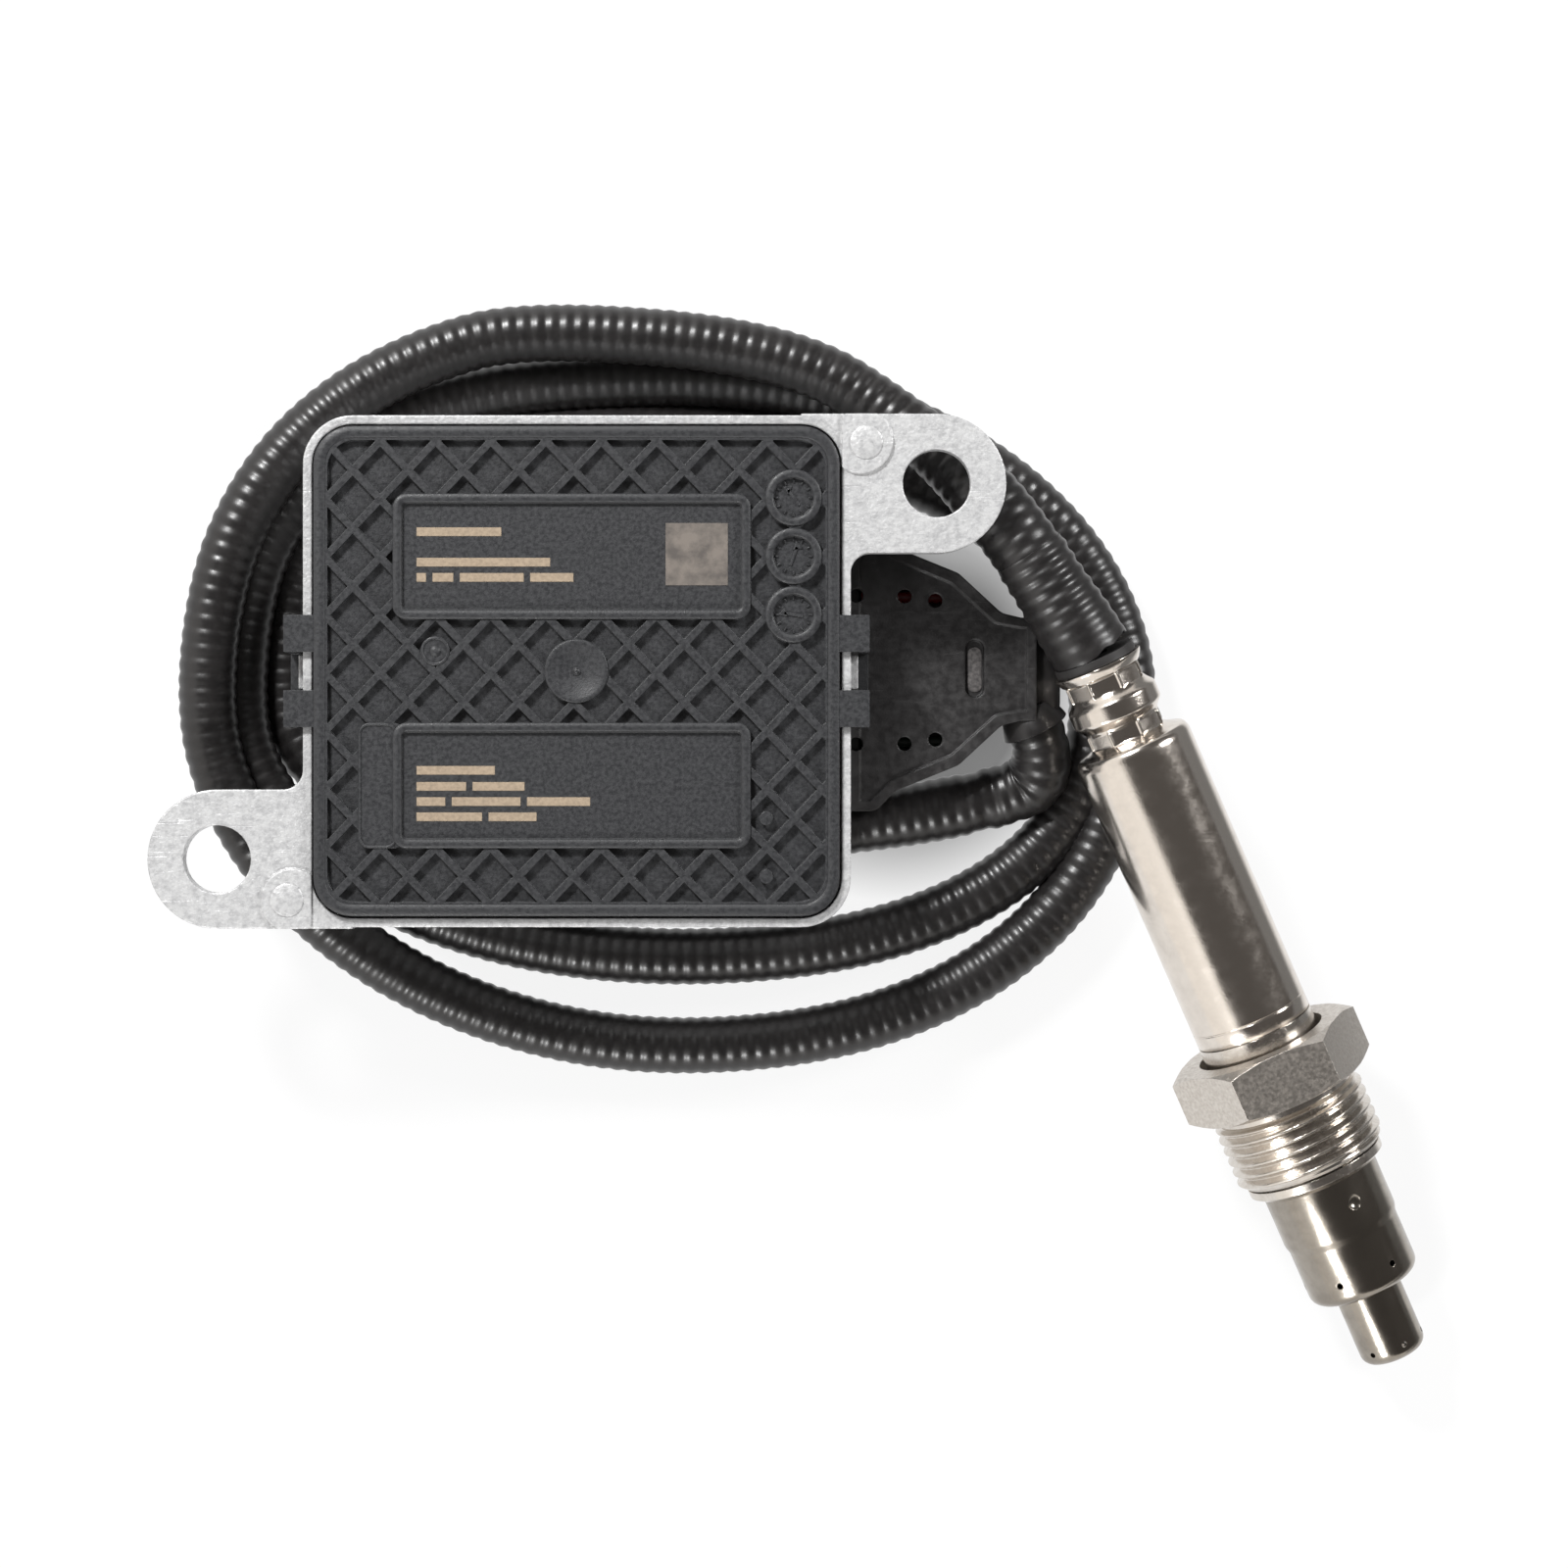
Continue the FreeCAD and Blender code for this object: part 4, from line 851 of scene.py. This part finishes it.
    @staticmethod
    def carve(piece: bpy.types.Object, tool: bpy.types.Object, how: str) -> None:
        """Applies a boolean with a tool and removes the tool.

        Args:
            piece: the object to change.
            tool: the object to work with.
            how: the boolean's operation.
        """
        mesh = bmesh.new()
        mesh.from_mesh(tool.data)
        bmesh.ops.recalc_face_normals(mesh, faces=mesh.faces)
        mesh.to_mesh(tool.data)
        mesh.free()
        change = piece.modifiers.new("carve", "BOOLEAN")
        change.operation = how
        change.object = tool
        change.solver = "EXACT"
        bpy.ops.object.select_all(action="DESELECT")
        bpy.context.view_layer.objects.active = piece
        piece.select_set(True)
        bpy.ops.object.modifier_apply(modifier="carve")
        bpy.data.objects.remove(tool)

    def thread(self) -> None:
        """Makes the threaded shank, whose helix fades out at both ends."""
        around, start, stop, neck, neck_end = 120, 8.2, 17.0, 8.95, 8.25
        run_in, run_out, taper_in, taper_out = (8.4, 9.1), (16.0, 16.9), (start, 8.9), (16.3, stop)
        steep, crest_share, taper_height, tip_height = 2.5, 0.16, 0.9, 0.85
        turns = np.linspace(0.0, 2 * math.pi, around, endpoint=False)
        stations = np.concatenate([[6.9, 7.0, 8.15], np.linspace(start, stop, 170)])
        climb = self.thread_pitch * turns[None, :] / (2 * math.pi)
        phase = (stations[:, None] - climb) / self.thread_pitch % 1.0
        tooth = np.clip(np.abs(phase - 0.5) * steep - crest_share, 0.0, 1.0)
        live = blend(*run_in, stations) * (1 - blend(*run_out, stations))
        taper = taper_height * (1 - blend(*taper_in, stations))
        tip = tip_height * blend(*taper_out, stations)
        crest = np.where(stations < neck_end, neck, self.thread_radius - taper - tip)
        radii = crest[:, None] - self.thread_depth * tooth * live[:, None]
        inner = np.full_like(radii, self.bore_radius)
        rings_z = np.concatenate([stations, stations[::-1]])
        piece = lathe("nut_thread", probe_place(), rings_z, np.concatenate([radii, inner]))
        self.shop.adopt(piece, "turned", "stainless_steel", Body.NUT, smooth_deg=30.0)
        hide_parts("union_nut")

    def cap(self) -> None:
        """Makes the stepped outer cap with its true rounds, gas holes and weld dimples."""
        start, wall, curve, step, snout = self.cap_start, self.cap_wall, self.cap_round, 7.35, 4.35
        outside = [(self.sleeve_radius, start), (self.sleeve_radius, 25.9), (7.6, 26.3), (7.38, 27.0)]
        outside += [(step, 27.3)]
        for radius, station, onward in ((step, 33.5, [(4.5, 35.0), (snout, 35.15)]), (snout, 43.5, [])):
            outside += [
                (radius - curve + curve * math.cos(turn), station + curve * math.sin(turn))
                for turn in np.linspace(0.0, math.pi / 2, 7)
            ]
            outside += onward
        inside = [(1.6, 45.0), (1.6, 45.0 - wall), (snout - wall, 44.0), (snout - wall, 34.6)]
        inside += [(6.3, 34.4), (6.75, 33.5), (6.75, 27.0), (7.05, 26.0), (7.05, start)]
        shell = turned("stepped_cap", Matrix.Identity(4), outside + inside, around=128)
        sideways, depth, weld_out = Matrix.Rotation(math.pi / 2, 4, "Y"), 3.0, 1.1
        for name, radius, station, out, turns in (
            ("gas", 0.425, 32.0, 7.0, range(30, 390, 60)),
            ("snout", 0.35, 43.1, 4.0, range(45, 405, 60)),
            ("weld", 1.5, 22.4, self.sleeve_radius + weld_out, (-17, 103, 223)),
        ):
            size = radius * MM
            rod = {"radius1": size, "radius2": size, "depth": depth * MM}
            shapes = bmesh.new()
            for turn in turns:
                spin = Matrix.Rotation(math.radians(turn), 4, "Z")
                lay = Matrix.Translation((out * MM, 0, station * MM))
                if name == "weld":
                    bmesh.ops.create_uvsphere(
                        shapes, u_segments=40, v_segments=24, radius=size, matrix=spin @ lay
                    )
                else:
                    place = spin @ (lay @ sideways)
                    bmesh.ops.create_cone(shapes, cap_ends=True, segments=24, matrix=place, **rod)
            self.carve(shell, add_shapes(f"{name}_drill", shapes), "DIFFERENCE")
        shell.data.transform(probe_place())
        self.shop.adopt(shell, "heated", "stainless_steel", smooth_deg=32.0)
        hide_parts("outer_cap")

    def build(self) -> None:
        """Makes the three pieces."""
        self.sleeve()
        self.nut()
        self.cap()


@dataclass
class Cover:
    """The small raised and printed details on the module's top, in millimetres from its middle."""

    shop: Workshop
    plate_shift: float = -0.6
    plate_offset: float = 14.3
    tag_shift: float = -24.2
    mark_height: float = 0.03
    mark_sink: float = 0.35
    mark_width: float = 1.1
    mark_gap: float = 0.8
    mark_start: float = -20.0
    dial_x: float = 27.1
    dial_y: float = 14.35
    dial_pitch: float = 7.3
    dial_sink: float = 0.45
    dial_leans: tuple[float, ...] = (35, -20, 80)
    dimple: Pair = (-17.65, 2.5)
    stud: Pair = (36.2, 28.6)
    window: Pair = (50.35, 0.55)
    window_depth: float = 1.2
    rim_rise: float = 0.28
    rim_sink: float = 0.06
    rim_soft: float = 0.12

    def __post_init__(self) -> None:
        """Finds the module's middle and the cover's level from the frame."""
        low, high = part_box("housing_cover")
        self.middle_x = (low[0] + high[0]) / 2
        self.middle_y = (low[1] + high[1]) / 2
        self.width = (high[1] - low[1]) / MM
        self.top = high[2]

    def place(self, across: float, along: float, level: float) -> Matrix:
        """A place on the cover: millimetres from the module's middle, and a height in metres."""
        return Matrix.Translation((self.middle_x + across * MM, self.middle_y + along * MM, level))

    def bars(self, name: str, boxes: list[tuple[float, float, float, float]], finish: str) -> None:
        """Makes thin raised bars on the cover's plates.

        Args:
            name: the object's name.
            boxes: middle across, middle along, length and width of each bar, in millimetres.
            finish: the key of their finish.
        """
        level = self.top - self.mark_sink * MM + self.mark_height * MM / 2
        shapes = bmesh.new()
        for across, along, length, width in boxes:
            add_box(shapes, self.place(across, along, level), (length, width, self.mark_height))
        self.shop.adopt(add_shapes(name, shapes), finish, "black_moulding")

    def rim(self, name: str, spot: Pair, outer: Triple, width: float, rise: float) -> None:
        """Makes a soft-edged raised rim on the cover.

        Args:
            name: the object's name.
            spot: the middle's place across and along, in millimetres.
            outer: length, width and corner radius of its outer outline.
            width: how wide the rim is.
            rise: how far it stands up.
        """
        soft = self.rim_soft
        rows = (
            (width, -self.rim_sink),
            (width, rise - soft),
            (width - soft, rise),
            (soft, rise),
            (0.0, rise - soft),
            (0.0, -self.rim_sink),
        )
        rings = loop_rings((self.middle_x, self.middle_y, self.top), spot, outer, rows)
        piece = skin(name, rings[::-1], closed_ends=False)
        self.shop.adopt(piece, "cover", "black_moulding", smooth_deg=50.0)

    def rims(self) -> None:
        """Raises the border, the two plates' frames, the tag panel's frame and the dials' rings."""
        shift, offset, rise = self.plate_shift, self.plate_offset, self.rim_rise
        self.rim("cover_border_rim", (0.0, 0.0), (65.7, self.width, 4.8), 1.5, 0.12)
        for side in Side:
            spot = (shift, side.value * offset)
            self.rim(f"plate_rim_{side.name.lower()}", spot, (44.7, 15.7, 1.7), 1.15, rise)
        self.rim("tag_rim", (shift + self.tag_shift, -offset), (4.9, 15.7, 1.4), 0.4, rise * 0.7)
        for number in range(len(self.dial_leans)):
            spot = (self.dial_x, self.dial_y + (1 - number) * self.dial_pitch)
            self.rim(f"dial_rim_{number}", spot, (7.1, 7.1, 3.54), 1.05, rise)

    def dish(self) -> None:
        """Fills the gate's stepped recess with a smooth hollow, and adds the dimple's round nub."""
        outside = [(3.98, -0.05), (3.98, 0.16), (3.85, 0.24), (3.4, 0.16), (2.8, 0.0), (2.1, -0.16)]
        inside = [(1.4, -0.28), (0.8, -0.35), (0.42, -0.36), (0.3, -0.14), (0.05, -0.1), (0.05, -0.6)]
        piece = turned("gate_dish", self.place(0.0, 0.0, self.top), outside + inside, around=64)
        self.shop.adopt(piece, "cover", "black_moulding", smooth_deg=60.0)
        nub_radius, nub_sink = 0.95, 0.55
        bpy.ops.mesh.primitive_uv_sphere_add(
            segments=32,
            ring_count=16,
            radius=nub_radius * MM,
            location=self.place(*self.dimple, self.top - nub_sink * MM).translation,
        )
        nub = bpy.context.object
        nub.name = "dimple_nub"
        self.shop.adopt(nub, "cover", "black_moulding", smooth_deg=60.0)
        self.rim("dimple_rim", self.dimple, (3.7, 3.7, 1.84), 0.45, self.rim_rise * 0.6)

    def marks(self) -> None:
        """Lays plain rows of bars and a plain mottled square where the real part is laser marked."""
        rows = (
            (17.4, (10.6,)),
            (13.6, (16.7,)),
            (11.7, (1.2, 2.6, 8.0, 5.4)),
            (-12.4, (9.8,)),
            (-14.4, (6.2, 6.5)),
            (-16.3, (3.6, 8.6, 7.9)),
            (-18.2, (8.2, 6.0)),
        )
        boxes = []
        for along, lengths in rows:
            across = self.mark_start
            for length in lengths:
                boxes.append((across + length / 2, along, length, self.mark_width))
                across += length + self.mark_gap
        self.bars("tan_mark_rows", boxes, "mark")
        self.bars("tan_mark_square", [(15.0, 14.6, 7.8, 7.8)], "square")

    def dials(self) -> None:
        """Adds an arrow and a ring of ticks to each of the three moulded dials."""
        level = self.top - self.dial_sink * MM
        shaft, tick = (0.35, 2.4, 0.3), (0.2, 0.5, 0.36)
        head_out, tick_out, tick_count = 1.3, 2.12, 12
        head = {"radius1": 0.75 * MM, "radius2": 0.7 * MM, "depth": 0.3 * MM}
        shapes = bmesh.new()
        for number, lean in enumerate(self.dial_leans):
            centre = self.place(self.dial_x, self.dial_y + (1 - number) * self.dial_pitch, level)
            arrow = centre @ Matrix.Rotation(math.radians(lean), 4, "Z")
            add_box(shapes, arrow, shaft)
            tip = arrow @ Matrix.Translation((0, head_out * MM, 0)) @ Matrix.Rotation(math.pi / 6, 4, "Z")
            bmesh.ops.create_cone(shapes, cap_ends=True, segments=3, matrix=tip, **head)
            for step in range(tick_count):
                spoke = centre @ Matrix.Rotation(math.radians(step * 360 / tick_count), 4, "Z")
                add_box(shapes, spoke @ Matrix.Translation((0, tick_out * MM, 0)), tick)
        self.shop.adopt(add_shapes("dial_details", shapes), "cover", "black_moulding")

    def peened_studs(self) -> None:
        """Adds the small peened disc in each raised pad of the tray's ears."""
        low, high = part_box("housing_tray")
        radius, thick = 2.1, 0.3
        for side in Side:
            across, along = (side.value * value * MM for value in self.stud)
            spot = ((low[0] + high[0]) / 2 + across, (low[1] + high[1]) / 2 + along, high[2])
            bpy.ops.mesh.primitive_cylinder_add(
                vertices=40, radius=radius * MM, depth=thick * MM, location=spot
            )
            disc = bpy.context.object
            disc.name = f"peened_stud_{side.name.lower()}"
            soften(disc, segments=3, angle_deg=30.0)
            self.shop.adopt(disc, "cast", "cast_aluminium")

    def window_pad(self) -> None:
        """Makes the paler pad at the bottom of the hood's oblong window."""
        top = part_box("hood_upper")[1][2]
        steps = ((0.0, -0.05), (0.0, 0.08), (0.12, 0.12))
        rows = tuple((inset, rise - self.window_depth) for inset, rise in steps)
        rings = loop_rings((self.middle_x, self.middle_y, top), self.window, (1.84, 5.8, 0.9), rows)
        self.shop.adopt(skin("window_pad", rings), "pad", "hood_moulding", smooth_deg=50.0)

    def build(self) -> None:
        """Makes all the cover's details."""
        self.window_pad()
        self.rims()
        self.dish()
        self.marks()
        self.dials()
        self.peened_studs()


@dataclass
class Studio:
    """The floor, the light and the camera above the object, in metres."""

    camera_height: float = 0.540
    camera_x: float = -0.0022
    camera_y: float = 0.01435
    focal_px: float = 4195.0
    picture_px: float = 1600.0
    sensor_mm: float = 36.0
    floor_size: float = 6.0
    floor_level: float = -0.0002
    floor_white: float = 0.9
    floor_seen: float = 0.88
    floor_mirrored: float = 0.9
    hood_shade: Triple = (0.012, 0.027, 0.0)
    shade_steps: Triple = (0.017, 0.028, 0.22)
    flag_way: Triple = (0.9, 0.42, 0.0)
    flag_steps: Triple = (0.066, 0.078, 0.09)
    dark_way: Triple = (0.523, 0.233, 1.0)
    sky_stops: Pair = (0.38, 0.54)
    bright_sky: Triple = (1.12, 1.09, 1.05)
    dark_sky: Triple = (0.10, 0.093, 0.088)
    plain_sky: float = 0.35
    lamps: tuple[tuple[str, Triple, float, float], ...] = (
        ("key", (-0.30, 0.50, 0.50), 0.14, 6.0),
        ("near", (-0.20, -0.55, 0.42), 0.14, 2.5),
        ("right", (0.55, 0.30, 0.36), 0.2, 3.2),
    )

    def floor(self) -> None:
        """Adds a white floor with the object's shadow and a grey shade under the hood.

        Steel mirrors it with a dark end to the right, as in a light tent.
        """
        bpy.ops.mesh.primitive_plane_add(size=self.floor_size, location=(0, 0, self.floor_level))
        plane = bpy.context.object
        plane.name = "white_floor"
        material = bpy.data.materials.new("white floor")
        material.use_nodes = True
        material.node_tree.nodes.clear()
        wiring = Wiring(material.node_tree)
        path = wiring.node("LightPath").outputs
        mirrored = path["Is Glossy Ray"]
        spot = wiring.node("TexCoord").outputs["Object"]
        across = wiring.add("VectorMath", {0: spot, 1: self.flag_way}, operation="DOT_PRODUCT")
        away = wiring.add("VectorMath", {0: spot, 1: self.hood_shade}, operation="DISTANCE")
        low, high, dark = self.shade_steps
        shade = wiring.add("MapRange", {"Value": away, "From Min": low, "From Max": high, "To Min": dark})
        low, high, dark = self.flag_steps
        flag = wiring.add(
            "MapRange", {"Value": across, "From Min": low, "From Max": high, "To Min": 1.0, "To Max": dark}
        )
        strength = wiring.add("Mix", {"Factor": mirrored, "A": shade, "B": flag})
        glow = wiring.add("Emission", {"Strength": strength})
        matt = wiring.add("BsdfDiffuse", {"Color": (*[self.floor_white] * 3, 1.0)})
        seen = wiring.add("Math", {0: path["Is Camera Ray"], 1: self.floor_seen}, operation="MULTIPLY")
        shine = wiring.add("Math", {0: mirrored, 1: self.floor_mirrored}, operation="MULTIPLY")
        share = wiring.add("Math", {0: seen, 1: shine}, operation="MAXIMUM")
        mix = wiring.add("MixShader", {"Fac": share, 1: matt, 2: glow})
        wiring.node("OutputMaterial", {"Surface": mix})
        plane.data.materials.append(material)

    def light(self) -> None:
        """Lights the object from the left and the sides, and keeps it dark overhead."""
        world = bpy.data.worlds.new("studio")
        bpy.context.scene.world = world
        world.use_nodes = True
        world.node_tree.nodes.clear()
        wiring = Wiring(world.node_tree)
        path = wiring.node("LightPath").outputs
        way = wiring.node("TexCoord").outputs["Generated"]
        lean = wiring.add("VectorMath", {0: way, 1: self.dark_way}, operation="DOT_PRODUCT")
        ramp = wiring.node("ValToRGB", {"Fac": lean})
        skies = (self.bright_sky, self.dark_sky)
        for stop, position, sky in zip(ramp.color_ramp.elements, self.sky_stops, skies):
            stop.position = position
            stop.color = (*sky, 1.0)
        color = (*[self.plain_sky] * 3, 1.0)
        white = (1.0, 1.0, 1.0, 1.0)
        for ray, seen in (("Is Glossy Ray", ramp.outputs["Color"]), ("Is Camera Ray", white)):
            color = wiring.add("Mix", {"Factor": path[ray], "A": color, "B": seen}, data_type="RGBA")
        back = wiring.add("Background", {"Color": color})
        wiring.node("OutputWorld", {"Surface": back})
        for name, spot, size, power in self.lamps:
            lamp = bpy.data.lights.new(name, "AREA")
            lamp.shape = "DISK"
            lamp.size = size
            lamp.energy = power
            holder = add_object(name, lamp)
            holder.location = spot
            holder.rotation_euler = (-Vector(spot)).to_track_quat("-Z", "Y").to_euler()

    def camera(self) -> None:
        """Sets the camera straight above, with the photograph's framing."""
        data = bpy.data.cameras.new("overhead")
        data.sensor_width = self.sensor_mm
        data.lens = self.sensor_mm * self.focal_px / self.picture_px
        data.clip_start = 0.01
        holder = add_object("overhead", data)
        holder.location = (self.camera_x, self.camera_y, self.camera_height)
        bpy.context.scene.camera = holder

    def build(self) -> None:
        """Sets up the whole studio."""
        self.floor()
        self.light()
        self.camera()
        bpy.context.scene.view_settings.view_transform = "Standard"


def main() -> None:
    """Builds every piece in order."""
    logging.basicConfig(level=logging.INFO)
    shop = Workshop()
    shop.dress_frame()
    Studio().build()
    Conduit(shop).build()
    Probe(shop).build()
    Cover(shop).build()


if __name__ == "__main__":
    main()
